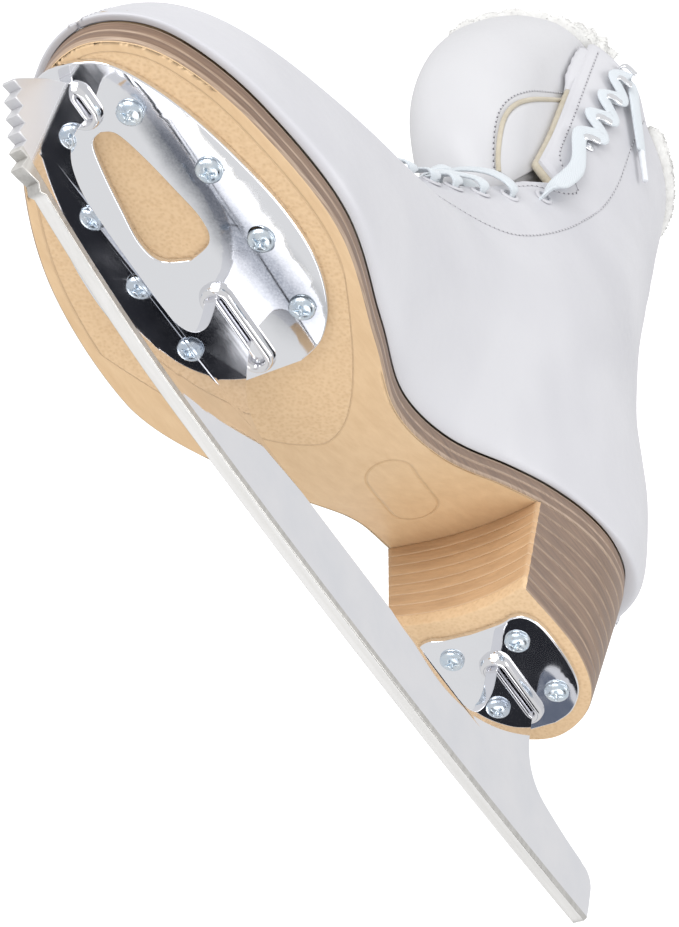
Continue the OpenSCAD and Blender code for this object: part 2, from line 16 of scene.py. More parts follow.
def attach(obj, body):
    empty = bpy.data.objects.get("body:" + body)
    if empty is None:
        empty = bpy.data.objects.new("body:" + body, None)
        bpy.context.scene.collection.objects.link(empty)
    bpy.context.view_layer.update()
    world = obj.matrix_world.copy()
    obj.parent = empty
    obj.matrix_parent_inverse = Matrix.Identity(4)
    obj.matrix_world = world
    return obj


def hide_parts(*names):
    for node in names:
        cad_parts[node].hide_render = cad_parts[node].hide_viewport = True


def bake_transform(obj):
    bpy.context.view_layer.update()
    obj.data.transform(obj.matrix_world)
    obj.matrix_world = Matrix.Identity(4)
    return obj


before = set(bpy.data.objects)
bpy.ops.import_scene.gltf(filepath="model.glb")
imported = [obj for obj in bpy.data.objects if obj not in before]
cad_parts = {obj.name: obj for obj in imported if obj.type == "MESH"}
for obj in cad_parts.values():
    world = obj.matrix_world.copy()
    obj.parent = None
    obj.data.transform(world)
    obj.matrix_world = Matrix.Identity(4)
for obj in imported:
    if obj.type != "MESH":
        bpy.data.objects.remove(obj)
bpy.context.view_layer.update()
MM = 0.001
SKATE, LOBE = "skate", "tongue_lobe"
rng = np.random.default_rng(7)


# ---- curves and the boot's surface (the same formula as the CAD source) ----------------

def smooth(x):
    c = np.clip(x, 0, 1)
    return c * c * (3 - 2 * c)


def spans(p, i0, i1, i2, i3, f):
    a, b, c, d = p[i0], p[i1], p[i2], p[i3]
    if p.ndim == 2:
        f = f[..., None]
    square, cube = 2 * a - 5 * b + 4 * c - d, 3 * b - a - 3 * c + d
    return 0.5 * (2 * b + (c - a) * f + square * f * f + cube * f ** 3)


def spline(points, t):
    p = np.asarray(points, float)
    n = len(p) - 1
    u = np.clip(np.asarray(t, float), 0, 1) * n
    i = np.minimum(n - 1, np.floor(u).astype(int))
    return spans(p, np.maximum(0, i - 1), i, i + 1, np.minimum(n, i + 2), u - i)


def ring_spline(points, u):
    p = np.asarray(points, float)
    n = len(p)
    i = np.floor(u).astype(int)
    return spans(p, (i - 1) % n, i % n, (i + 1) % n, (i + 2) % n, u - i)


# Thicknesses and depths under the leather's outer face, as in the CAD source
OUTSOLE_T, MIDSOLE_T, BOARD_T, PLATE_T, BLADE_T = 4.0, 4.2, 2.4, 2.0, 3.8
BOOT_GAP, LEATHER_T, LINING_DEPTH, LINING_T, COLLAR_R = 0.25, 2.2, 4.2, 1.6, 4.5
SOLE = [[174, 6], [170, 20], [158, 30], [135, 37.5], [100, 40.5], [66, 31], [38, 21.5],
        [5, 21], [-30, 25.5], [-62, 27.5], [-84, 19.5], [-94, 0], [-84, -19.5], [-62, -28],
        [-30, -27], [5, -23], [40, -33.5], [72, -45], [113, -42.5], [147, -28.5], [167, -10]]
HEEL_INDEX = 11
BALL_X, SEAT_X, PLATE_X0, PLATE_Z, PLATE_RISE = 72, -96, 68, 45.4, math.radians(2.1)
WAIST_H = [0, 2.3, 11.3, 27, 39, 44.8, 49]
HEEL_PLATE_Z = 48.9


def sole_edge(a):
    a = np.asarray(a, float) % 360
    n = len(SOLE)
    u = np.where(a <= 180, a / 180 * HEEL_INDEX, HEEL_INDEX + (a - 180) / 180 * (n - HEEL_INDEX))
    return ring_spline(SOLE, u % n)


def plate_top(x):
    rise = math.tan(PLATE_RISE) * (np.asarray(x, float) - PLATE_X0)
    return PLATE_Z + PLATE_T / math.cos(PLATE_RISE) + rise


def front_under(x):
    return plate_top(x) - PLATE_T / math.cos(PLATE_RISE)


def sole_z(x):
    x = np.asarray(x, float)
    rise = spline(WAIST_H, (BALL_X - x) / (BALL_X - SEAT_X))
    return np.where(x >= BALL_X, plate_top(x), plate_top(BALL_X) + rise)


def shoe_z(x):
    return sole_z(x) + OUTSOLE_T + MIDSOLE_T + BOOT_GAP


# The boot level by level: its front and back lines, half widths, roundness and pinch at the instep
FRONT = [[174, 56], [175.8, 63], [172, 76], [163, 87], [145, 98], [121, 105.5], [95, 118],
         [68, 138], [42, 162], [23, 191], [13, 224], [6, 259], [-1, 296]]
BACK = [[-94, 104], [-100, 112], [-103.5, 126], [-102.5, 143], [-99.5, 160], [-95.5, 178],
        [-92.5, 196], [-89.5, 214], [-87, 232], [-85.5, 246], [-84.5, 258], [-84, 268], [-84, 276]]
W_IN = [40.5, 43, 43, 42, 40, 38, 36.5, 35, 33.5, 32, 31, 30.5, 30]
W_OUT = [45, 47, 46.5, 45, 42, 39, 36.5, 35, 33.5, 32, 31, 30.5, 30]
ROUND = [2.4, 2.4, 2.4, 2.3, 2.1, 1.9, 1.8, 1.8, 1.9, 2, 2.1, 2.2, 2.2]
PINCH = [0, 0, 0.03, 0.1, 0.17, 0.2, 0.17, 0.12, 0.06, 0.02, 0, 0, 0]
FOOT_SHARE, FOOT_END = 0.5, 0.3
CORNER_RISE, CORNER_T, CORNER_A, CORNER_RUN = 10, 0.85, 92, 14


def power(v, e):
    return np.sign(v) * np.abs(v) ** e


def skin(t, a):
    """A point of the boot's outer surface: t from the sole (0) to the rim (1), a in degrees from the toe."""
    t, a = np.broadcast_arrays(np.asarray(t, float), np.asarray(a, float) % 360)
    f, b = spline(FRONT, t), spline(BACK, t)
    inner = a <= 180
    w = np.where(inner, spline(W_IN, t), spline(W_OUT, t))
    w0 = np.where(inner, W_IN[0], W_OUT[0])
    e = 2 / spline(ROUND, t)
    m = smooth(t / FOOT_SHARE)
    o = sole_edge(a)
    rad = np.radians(a)
    along = ((o[..., 0] - SOLE[HEEL_INDEX][0]) / (SOLE[0][0] - SOLE[HEEL_INDEX][0]) * (1 - m)
             + (0.5 + 0.5 * power(np.cos(rad), e)) * m)
    fa = np.where(inner, a, 360 - a)
    slim = 1 - spline(PINCH, t) * np.sin(np.radians(1.5 * np.minimum(120, fa))) ** 2
    y = (o[..., 1] * w / w0 * (1 - m) + w * power(np.sin(rad), e) * m) * slim
    x = b[..., 0] + (f[..., 0] - b[..., 0]) * along
    z = b[..., 1] + (f[..., 1] - b[..., 1]) * along
    ground = 1 - smooth(t / FOOT_END)
    rise = CORNER_RISE * smooth((CORNER_A - fa) / CORNER_RUN) * smooth((t - CORNER_T) / (1 - CORNER_T))
    return np.stack([x, y, z + (shoe_z(x) - z) * ground + rise], -1)


def unit(v):
    return v / np.maximum(np.linalg.norm(v, axis=-1, keepdims=True), 1e-12)


def outward(t, a):
    u = np.clip(t, 0.01, 0.99)
    across = skin(u, a + 1.5) - skin(u, a - 1.5)
    up = skin(u + 0.01, a) - skin(u - 0.01, a)
    return unit(np.cross(across, up))


def on(t, a, h=0.0):
    t, a, h = np.broadcast_arrays(np.asarray(t, float), np.asarray(a, float), np.asarray(h, float))
    return skin(t, a) + h[..., None] * outward(t, a)


THROAT = np.array([[0, 0.15], [0.44, 0.15], [0.48, 18], [0.56, 24], [0.66, 31], [0.74, 42], [0.765, 58],
                   [0.8, 44], [1, 44]])


def throat(t):
    return np.interp(t, THROAT[:, 0], THROAT[:, 1])


# ---- meshes ----------------------------------------------------------------------------

def turn(n):
    """n angles evenly round a circle."""
    return np.linspace(0, 2 * np.pi, n, endpoint=False)


def run_length(points):
    return np.concatenate([[0], np.cumsum(np.linalg.norm(np.diff(points, axis=0), axis=1))])


def link(name, me, body=None, stands_for=()):
    ob = bpy.data.objects.new(name, me)
    bpy.context.scene.collection.objects.link(ob)
    if body:
        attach(ob, body)
    if stands_for:
        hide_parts(*stands_for)
    return ob


def finished(name, bm, mat):
    """The mesh of a bmesh with its faces turned outward and shaded smooth."""
    bmesh.ops.recalc_face_normals(bm, faces=bm.faces)
    me = bpy.data.meshes.new(name)
    bm.to_mesh(me)
    bm.free()
    me.materials.append(mat)
    me.polygons.foreach_set("use_smooth", [True] * len(me.polygons))
    return me


def put(name, verts, faces, mat, body=SKATE, slot=None, stands_for=(), attributes=None):
    raw = bpy.data.meshes.new(name)
    raw.from_pydata((np.asarray(verts, float) * MM).tolist(), [], [list(map(int, f)) for f in faces])
    raw.validate()
    bm = bmesh.new()
    bm.from_mesh(raw)
    bpy.data.meshes.remove(raw)
    me = finished(name, bm, mat)
    for key, values in (attributes or {}).items():
        data = me.attributes.new(key, "FLOAT", "POINT").data
        data.foreach_set("value", np.asarray(values, np.float32).ravel())
    return link(name, me, body, stands_for)


def paint(ob, mat, faces):
    """Gives a second material to the faces that the list marks with 1."""
    ob.data.materials.append(mat)
    if len(ob.data.polygons) == len(faces):
        ob.data.polygons.foreach_set("material_index", faces)


def even_shading(ob, weight):
    m = ob.modifiers.new("flat", "WEIGHTED_NORMAL")
    m.keep_sharp, m.weight = True, weight


def grid_faces(rows, cols, close_cols=False, close_rows=False, start=0, flip=False):
    down, across = np.arange(rows if close_rows else rows - 1), np.arange(cols if close_cols else cols - 1)
    i, j = np.meshgrid(down, across, indexing="ij")
    i1, j1 = (i + 1) % rows, (j + 1) % cols
    f = np.stack([i * cols + j, i * cols + j1, i1 * cols + j1, i1 * cols + j], -1).reshape(-1, 4) + start
    return f[:, ::-1] if flip else f


def shell(name, outer, inner, mat, **kw):
    """A closed solid between two grids of points."""
    r, c = outer.shape[:2]
    n = r * c
    faces = [grid_faces(r, c), grid_faces(r, c, start=n, flip=True)]
    loop = np.concatenate([np.arange(c - 1), np.arange(r - 1) * c + c - 1,
                           (r - 1) * c + np.arange(c - 1, 0, -1), np.arange(r - 1, 0, -1) * c])
    nxt = np.roll(loop, -1)
    faces.append(np.stack([loop, loop + n, nxt + n, nxt], -1))
    verts = np.concatenate([outer.reshape(-1, 3), inner.reshape(-1, 3)])
    return put(name, verts, np.concatenate(faces), mat, **kw)


def tube(rings, first, last):
    """Points and faces of a tube through rings of points, closed by a fan at each end."""
    n, sides = rings.shape[:2]
    faces = grid_faces(n, sides, close_cols=True).tolist()
    tail = (n - 1) * sides
    for k in range(sides):
        j = (k + 1) % sides
        faces += [[j, k, n * sides], [tail + k, tail + j, n * sides + 1]]
    return np.concatenate([rings.reshape(-1, 3), [first], [last]]), faces


def sections(centre, side, up, half_w, half_h, sides, square):
    """Rings round centre points; square above 2 gives a flatter, squarer section."""
    cx, cy = power(np.cos(turn(sides)), 2 / square), power(np.sin(turn(sides)), 2 / square)
    half_w = np.broadcast_to(np.asarray(half_w, float), (len(centre),))
    return (centre[:, None] + side[:, None] * (half_w[:, None] * cx)[..., None]
            + up[:, None] * (half_h * cy)[None, :, None])


def sweep(name, centre, side, up, half_w, half_h, mat, sides, square, **kw):
    rings = sections(centre, side, up, half_w, half_h, sides, square)
    return put(name, *tube(rings, centre[0], centre[-1]), mat, **kw)


def tangents(p):
    return unit(np.gradient(p, axis=0))


class Batch:
    """Collects many small meshes into one object."""

    def __init__(self):
        self.v, self.f, self.n = [], [], 0

    def add(self, verts, faces):
        self.v.append(np.asarray(verts, float))
        self.f += [[int(i) + self.n for i in f] for f in faces]
        self.n += len(verts)

    def make(self, name, mat, **kw):
        return put(name, np.concatenate(self.v), self.f, mat, **kw)


def capsule(rings=5, sides=6):
    """A long bead from -1 to 1 along x, with radius 1."""
    u = np.linspace(-1, 1, rings + 2)[1:-1]
    r = np.sqrt(1 - u ** 2) ** 0.7
    v = [[x, q * math.cos(b), q * math.sin(b)] for x, q in zip(u, r) for b in turn(sides)]
    v = [[-1, 0, 0]] + v + [[1, 0, 0]]
    f = [[0, 1 + (k + 1) % sides, 1 + k] for k in range(sides)]
    f += (grid_faces(rings, sides, close_cols=True) + 1).tolist()
    last = 1 + (rings - 1) * sides
    f += [[len(v) - 1, last + k, last + (k + 1) % sides] for k in range(sides)]
    return np.array(v, float), f


CAPSULE = capsule()
THREAD_R, NEEDLE_R, HOLE_LIFT = 0.3, 0.36, 0.06


def stitches(batch, holes, line, normal, pitch=2.5, length=1.9):
    """Thread stitches along a line on a surface, with a painted-shade disc for a needle hole between each two."""
    s = run_length(line)
    count = max(1, int(s[-1] / pitch))
    step = s[-1] / count

    def at(values, d):
        return np.array([np.interp(d, s, values[:, j]) for j in range(3)])

    for k in range(count):
        d = (k + 0.5) * step
        n = unit(at(normal, d))
        q = at(line, d + 0.4) - at(line, d - 0.4)
        x = unit(q - n * (q @ n))
        y = np.cross(n, x)
        c = at(line, d)
        v = CAPSULE[0] * [length / 2, THREAD_R, THREAD_R * 0.8]
        batch.add(c + n * 0.055 + v[:, :1] * x + v[:, 1:2] * y + v[:, 2:] * n, CAPSULE[1])
        # a flat near-black disc of painted shade stands for the needle hole
        hole = c + x * step / 2 + n * HOLE_LIFT
        ring = [hole + NEEDLE_R * (math.cos(b) * x + math.sin(b) * y) for b in turn(6)]
        holes.add(ring, [[0, 1, 2, 3, 4, 5]])


# ---- materials -------------------------------------------------------------------------

class Mat:
    """A principled material, with short names for the nodes that feed it."""

    def __init__(self, name):
        self.m = bpy.data.materials.new(name)
        self.m.use_nodes = True
        self.t = self.m.node_tree
        self.bsdf = self.t.nodes["Principled BSDF"]
        self.co = self.node("ShaderNodeTexCoord").outputs["Object"]
        split = self.node("ShaderNodeSeparateXYZ")
        self.t.links.new(self.co, split.inputs[0])
        self.x, self.y, self.z = split.outputs

    def node(self, kind, **props):
        n = self.t.nodes.new(kind)
        for k, v in props.items():
            setattr(n, k, v)
        return n

    def put(self, socket, value):
        if isinstance(value, bpy.types.NodeSocket):
            self.t.links.new(value, socket)
        elif isinstance(value, (tuple, list)) and len(value) == 3 and len(socket.default_value) == 4:
            socket.default_value = (*value, 1)
        else:
            socket.default_value = value

    def set(self, **inputs):
        for k, v in inputs.items():
            self.put(self.bsdf.inputs[k.replace("_", " ")], v)

    def math(self, op, a, b=0.0):
        n = self.node("ShaderNodeMath", operation=op)
        self.put(n.inputs[0], a)
        self.put(n.inputs[1], b)
        return n.outputs[0]

    def times(self, a, b):
        return self.math("MULTIPLY", a, b)

    def plus(self, a, b):
        return self.math("ADD", a, b)

    def minus(self, a, b):
        return self.math("SUBTRACT", a, b)

    def gap(self, a, b):
        return self.math("ABSOLUTE", self.minus(a, b))

    def near(self, a, b, reach):
        """1 where a equals b, down to 0 at reach from it."""
        return self.remap(self.gap(a, b), 0, reach, 1, 0, True)

    def scaled(self, sx, sy, sz):
        n = self.node("ShaderNodeMapping")
        self.put(n.inputs[0], self.co)
        n.inputs["Scale"].default_value = (sx, sy, sz)
        return n.outputs[0]

    def noise(self, scale, detail=4.0, rough=0.5, vec=None, distortion=0.0):
        n = self.node("ShaderNodeTexNoise")
        self.put(n.inputs["Vector"], vec or self.co)
        n.inputs["Scale"].default_value, n.inputs["Detail"].default_value = scale, detail
        n.inputs["Roughness"].default_value, n.inputs["Distortion"].default_value = rough, distortion
        return n.outputs[0]

    def cells(self, scale, feature):
        n = self.node("ShaderNodeTexVoronoi", feature=feature)
        self.put(n.inputs["Vector"], self.co)
        n.inputs["Scale"].default_value = scale
        return n.outputs["Distance"]

    def remap(self, value, f0, f1, t0=0.0, t1=1.0, smoothly=False):
        n = self.node("ShaderNodeMapRange", interpolation_type="SMOOTHSTEP" if smoothly else "LINEAR")
        for s, v in zip(n.inputs, (value, f0, f1, t0, t1)):
            self.put(s, v)
        return n.outputs[0]

    def mix(self, fac, a, b):
        n = self.node("ShaderNodeMix", data_type="RGBA")
        self.put(n.inputs[0], fac)
        self.put(n.inputs[6], a)
        self.put(n.inputs[7], b)
        return n.outputs[2]

    def attr(self, name):
        return self.node("ShaderNodeAttribute", attribute_name=name).outputs["Fac"]

    def bump(self, height, distance, strength=1.0, normal=None):
        n = self.node("ShaderNodeBump")
        n.inputs["Strength"].default_value = strength
        n.inputs["Distance"].default_value = distance * MM
        self.put(n.inputs["Height"], height)
        if normal is not None:
            self.put(n.inputs["Normal"], normal)
        return n.outputs[0]


# The running edge: rocker and spin radii, where the second starts, and the runner's height
ROCKER_R, SPIN_R, SPIN_X, RUNNER_H = 2438, 450, 95, 20.5


def leather_white(name, tint=(0.60, 0.60, 0.63), shade=(0.52, 0.52, 0.555)):
    m = Mat(name)
    broad = m.noise(18, 2, 0.5)
    pores = m.cells(1500, "DISTANCE_TO_EDGE")
    fine = m.noise(2600, 3, 0.6)
    pull = m.noise(110, 3, 0.55, m.scaled(1, 1, 0.45))
    colour = m.mix(m.remap(broad, 0.35, 0.7), tint, shade)
    colour = m.mix(m.remap(m.noise(420, 5, 0.7), 0.62, 0.8, 0, 0.18), colour, (0.40, 0.40, 0.43))
    height = m.plus(m.times(m.remap(pores, 0, 0.12), 0.35), m.times(fine, 0.5))
    n1 = m.bump(pull, 0.5, 0.28)
    n2 = m.bump(height, 0.07, 0.5, n1)
    rough = m.remap(m.noise(300, 3, 0.6), 0.3, 0.75, 0.36, 0.50)
    m.set(Base_Color=colour, Roughness=rough, Normal=n2, Specular_IOR_Level=0.45, Coat_Weight=0.12,
          Coat_Roughness=0.3)
    return m.m


def wool_material(name, light=(0.80, 0.80, 0.785), dark=(0.64, 0.635, 0.62)):
    m = Mat(name)
    curl = m.noise(700, 5, 0.65, distortion=1.2)
    clump = m.noise(220, 4, 0.6)
    colour = m.mix(m.remap(m.times(curl, clump), 0.15, 0.42), dark, light)
    n1 = m.bump(clump, 0.7, 0.45)
    n2 = m.bump(curl, 0.35, 0.55, n1)
    m.set(Base_Color=colour, Roughness=0.95, Normal=n2, Sheen_Weight=0.5, Sheen_Roughness=0.6,
          Specular_IOR_Level=0.2)
    return m.m


def cream_material(name, base=(0.56, 0.51, 0.41), dark=(0.42, 0.37, 0.28)):
    m = Mat(name)
    n = m.noise(900, 5, 0.7)
    colour = m.mix(m.remap(m.noise(160, 4, 0.6), 0.3, 0.75), base, dark)
    m.set(Base_Color=colour, Roughness=0.8, Normal=m.bump(n, 0.25, 0.7), Sheen_Weight=0.2)
    return m.m


def lace_material():
    m = Mat("lace_weave")
    along, across = m.attr("along"), m.attr("across")
    slanted = m.plus(across, m.times(along, 0.5))
    wave = m.times(m.math("SINE", m.times(along, 7.0)), m.math("SINE", m.times(slanted, 9.0)))
    height = m.plus(wave, m.times(m.noise(2200, 3, 0.6), 0.6))
    colour = m.mix(m.remap(wave, -1, 1), (0.56, 0.61, 0.65), (0.68, 0.72, 0.76))
    m.set(Base_Color=colour, Roughness=0.55, Normal=m.bump(height, 0.12, 0.5), Sheen_Weight=0.25,
          Specular_IOR_Level=0.4)
    return m.m


def sole_material():
    """Tan sole leather: a pebbled tread area inside a smooth rim, a smooth waist and an embossed oval."""
    m = Mat("sole_tan")
    rim, tread = m.attr("rim"), m.attr("tread")
    inside = m.times(m.remap(rim, 3.6, 4.1, 0, 1, True), m.remap(tread, -0.3, 0.3, 0, 1, True))
    pebble = m.cells(1050, "SMOOTH_F1")
    grain = m.noise(1600, 4, 0.65)
    fibre = m.noise(260, 5, 0.65, m.scaled(0.35, 1.4, 1))
    groove = m.math("MAXIMUM", m.times(m.near(rim, 3.8, 0.5), m.remap(tread, -0.3, 0.3)),
                    m.times(m.near(tread, 0.0, 0.55), m.remap(rim, 3.5, 3.9)))
    colour = m.mix(m.remap(fibre, 0.3, 0.75), (0.77, 0.55, 0.33), (0.68, 0.465, 0.265))
    grained = m.mix(m.remap(pebble, 0.05, 0.6), (0.66, 0.45, 0.255), (0.77, 0.55, 0.335))
    colour = m.mix(m.times(inside, 0.8), colour, grained)
    colour = m.mix(m.times(groove, 0.25), colour, (0.45, 0.28, 0.15))
    colour = m.mix(m.remap(m.noise(45, 4, 0.6), 0.55, 0.8, 0, 0.35), colour, (0.58, 0.37, 0.19))
    ring = m.near(m.attr("oval"), 1.0, 0.09)
    colour = m.mix(m.times(ring, 0.35), colour, (0.50, 0.31, 0.15))
    height = m.times(m.remap(pebble, 0.0, 0.7), inside)
    n1 = m.bump(height, 0.2, 0.6)
    n2 = m.bump(m.math("MAXIMUM", groove, ring), -0.4, 0.6, n1)
    n3 = m.bump(grain, 0.07, 0.5, n2)
    rough = m.remap(inside, 0, 1, 0.46, 0.62)
    m.set(Base_Color=colour, Roughness=rough, Normal=n3, Specular_IOR_Level=0.4)
    return m.m


def edge_material(name):
    """Brown burnished edge of stacked leather: streaky fibres, and a lighter line at each layer's edges."""
    m = Mat(name)
    fibre = m.noise(520, 6, 0.7, m.scaled(0.12, 0.12, 2.2))
    streak = m.noise(900, 4, 0.7, m.scaled(0.10, 0.10, 3.5))
    colour = m.mix(m.remap(fibre, 0.3, 0.72), (0.115, 0.066, 0.042), (0.275, 0.178, 0.120))
    colour = m.mix(m.remap(m.noise(60, 3, 0.6), 0.45, 0.75, 0, 0.5), colour, (0.16, 0.10, 0.07))
    line = m.remap(m.gap(m.attr("layer"), 0.5), 0.36, 0.5, 0, 1, True)
    light = m.times(line, m.remap(streak, 0.35, 0.6, 0.25, 0.95))
    colour = m.mix(light, colour, (0.46, 0.34, 0.25))
    n1 = m.bump(fibre, 0.25, 0.5)
    m.set(Base_Color=colour, Roughness=m.remap(fibre, 0.3, 0.7, 0.34, 0.55), Normal=n1, Coat_Weight=0.15,
          Coat_Roughness=0.25)
    return m.m


def polished(m):
    """The faint waves and drawn scratches of polished sheet metal."""
    scratch = m.noise(900, 2, 0.5, m.scaled(1, 0.03, 0.3))
    return m.bump(scratch, 0.01, 0.10, m.bump(m.noise(34, 2, 0.5), 0.35, 0.12))


def chrome_material(name, tint, rough):
    m = Mat(name)
    haze = m.noise(55, 4, 0.6)
    spots = m.remap(m.noise(700, 3, 0.7), 0.70, 0.8, 0, 0.2)
    m.set(Base_Color=m.mix(spots, tint, (0.5, 0.5, 0.55)), Metallic=1.0, Normal=polished(m),
          Roughness=m.remap(haze, 0.35, 0.75, rough, rough + 0.09))
    return m.m


def plate_material():
    """Polished chrome with a painted dark reflection along a slanted line from the toe's middle to the rear inner
    screw.
    """
    m = Mat("plate_chrome")
    haze = m.noise(60, 4, 0.6)
    # mask of the painted dark reflection: a band round the slanted line, faded out at both ends
    across = m.plus(m.minus(m.y, 0.0165), m.times(m.minus(m.x, 0.112), 0.06))
    away = m.math("ABSOLUTE", m.plus(across, m.times(m.minus(haze, 0.5), 0.005)))
    reach = m.remap(m.x, 0.084, 0.150, 0.0125, 0.0055)
    painted_reflection = m.remap(m.math("DIVIDE", away, reach), 0.05, 1.0, 1, 0, True)
    painted_reflection = m.times(painted_reflection, m.remap(m.x, 0.070, 0.088, 0, 1, True))
    painted_reflection = m.times(painted_reflection, m.remap(m.x, 0.142, 0.160, 1, 0, True))
    painted_reflection = m.times(painted_reflection, m.remap(m.noise(1500, 3, 0.7), 0.2, 0.8, 0.7, 1.0))
    # painted reflection: inside the band the chrome's colour goes towards near black
    colour = m.mix(m.times(painted_reflection, 0.95), (0.86, 0.87, 0.90), (0.11, 0.125, 0.155))
    m.set(Base_Color=colour, Metallic=1.0, Normal=polished(m),
          Roughness=m.remap(haze, 0.35, 0.75, 0.035, 0.11))
    return m.m


def blade_material():
    """Mirror sides, a satin band along the edge, a satin toe and a bright ground running face."""
    m = Mat("blade_steel")
    past = m.math("MAXIMUM", m.minus(m.x, SPIN_X * MM), 0.0)
    edge = m.plus(m.times(m.times(m.x, m.x), 0.5 / (ROCKER_R * MM)),
                  m.times(m.times(past, past), 0.5 / (SPIN_R * MM)))
    band = m.remap(m.times(m.minus(m.z, edge), 1 / MM), 2.0, 2.3, 1, 0, True)
    face = m.attr("face")
    grind = m.noise(260, 5, 0.7, m.scaled(0.02, 1, 1))
    grind_v = m.noise(700, 3, 0.6, m.scaled(1, 1, 0.06))
    satin = m.mix(m.remap(grind_v, 0.3, 0.7), (0.50, 0.49, 0.47), (0.62, 0.61, 0.59))
    bright = m.mix(m.remap(grind, 0.35, 0.65), (0.86, 0.85, 0.83), (0.97, 0.96, 0.95))
    haze = m.noise(70, 3, 0.6)
    mirror = m.mix(m.remap(haze, 0.35, 0.7), (0.88, 0.88, 0.91), (0.83, 0.84, 0.88))
    toe = m.remap(m.x, 0.1665, 0.1685, 0, 1, True)
    mirror = m.mix(toe, mirror, (0.66, 0.66, 0.68))
    rough = m.remap(haze, 0.3, 0.8, 0.015, 0.04)
    for where, more in ((band, 0.25), (face, 0.2), (toe, 0.3)):
        rough = m.plus(rough, m.times(where, more))
    m.set(Base_Color=m.mix(face, m.mix(band, mirror, satin), bright), Metallic=m.remap(toe, 0, 1, 1, 0.55),
          Roughness=rough, Normal=m.bump(m.times(grind_v, band), 0.02, 0.3))
    return m.m


def breast_material():
    m = Mat("heel_breast_tan")
    fibre = m.noise(420, 5, 0.7, m.scaled(0.2, 0.2, 1.6))
    line = m.remap(m.gap(m.attr("layer"), 0.5), 0.40, 0.5, 0, 1, True)
    colour = m.mix(m.remap(fibre, 0.3, 0.7), (0.66, 0.43, 0.24), (0.50, 0.31, 0.17))
    colour = m.mix(m.times(line, 0.6), colour, (0.80, 0.62, 0.42))
    m.set(Base_Color=colour, Roughness=0.55, Normal=m.bump(fibre, 0.15, 0.5))
    return m.m


def screw_material():
    m = Mat("zinc_screw")
    n = m.noise(1200, 4, 0.7)
    colour = m.mix(m.remap(m.noise(300, 3, 0.6), 0.35, 0.7), (0.60, 0.70, 0.80), (0.74, 0.78, 0.80))
    m.set(Base_Color=colour, Metallic=1.0, Roughness=m.remap(n, 0.3, 0.7, 0.16, 0.34),
          Normal=m.bump(n, 0.04, 0.4))
    return m.m


def simple(name, a, b, scale, rough, bump=0.2, metallic=0.0):
    m = Mat(name)
    n = m.noise(scale, 5, 0.65)
    m.set(Base_Color=m.mix(m.remap(n, 0.3, 0.7), a, b), Roughness=rough, Metallic=metallic,
          Normal=m.bump(n, bump, 0.5))
    return m.m


WHITE = leather_white("white_leather")
WHITE_LOBE = leather_white("white_leather_lobe", (0.60, 0.60, 0.62), (0.55, 0.55, 0.575))
WOOL = wool_material("wool_fleece")
CREAM = cream_material("cream_padding")
LINING = cream_material("lining_brushed", (0.60, 0.55, 0.45), (0.48, 0.43, 0.34))
LACE = lace_material()
TAN = sole_material()
BROWN = edge_material("brown_edge")
BREAST = breast_material()
CHROME = plate_material()
CHROME_RIB = chrome_material("rib_chrome", (0.80, 0.80, 0.82), 0.05)
HARDWARE = chrome_material("hook_chrome", (0.84, 0.85, 0.88), 0.2)
STEEL = blade_material()
ZINC = screw_material()
THREAD = simple("thread_white", (0.62, 0.62, 0.64), (0.50, 0.50, 0.53), 4000, 0.7)
# near-black painted shade for the insides of needle holes and eyelets
HOLE_SHADE = simple("needle_hole", (0.10, 0.10, 0.12), (0.16, 0.15, 0.17), 2000, 0.9)
TIP = simple("lace_tip", (0.75, 0.77, 0.80), (0.66, 0.68, 0.72), 900, 0.2)
FIBRE = simple("board_fibre", (0.42, 0.31, 0.20), (0.30, 0.21, 0.13), 700, 0.85)
DARK_STEEL = simple("shank_steel", (0.28, 0.28, 0.29), (0.20, 0.20, 0.21), 500, 0.45, 0.05, 1.0)
FOOTBED = cream_material("footbed_cloth", (0.66, 0.63, 0.56), (0.55, 0.52, 0.45))


# ---- blade -----------------------------------------------------------------------------

def edge_z(x):
    x = np.asarray(x, float)
    return x * x / (2 * ROCKER_R) + np.where(x > SPIN_X, (x - SPIN_X) ** 2 / (2 * SPIN_R), 0)


def curve_through(points, per=6):
    p = np.asarray(points, float)
    return spline(p, np.linspace(0, 1, per * (len(p) - 1) + 1))


def arc2(cx, cz, r, a0, a1, n=10):
    a = np.radians(np.linspace(a0, a1, n + 1))
    return np.stack([cx + r * np.cos(a), cz + r * np.sin(a)], -1)


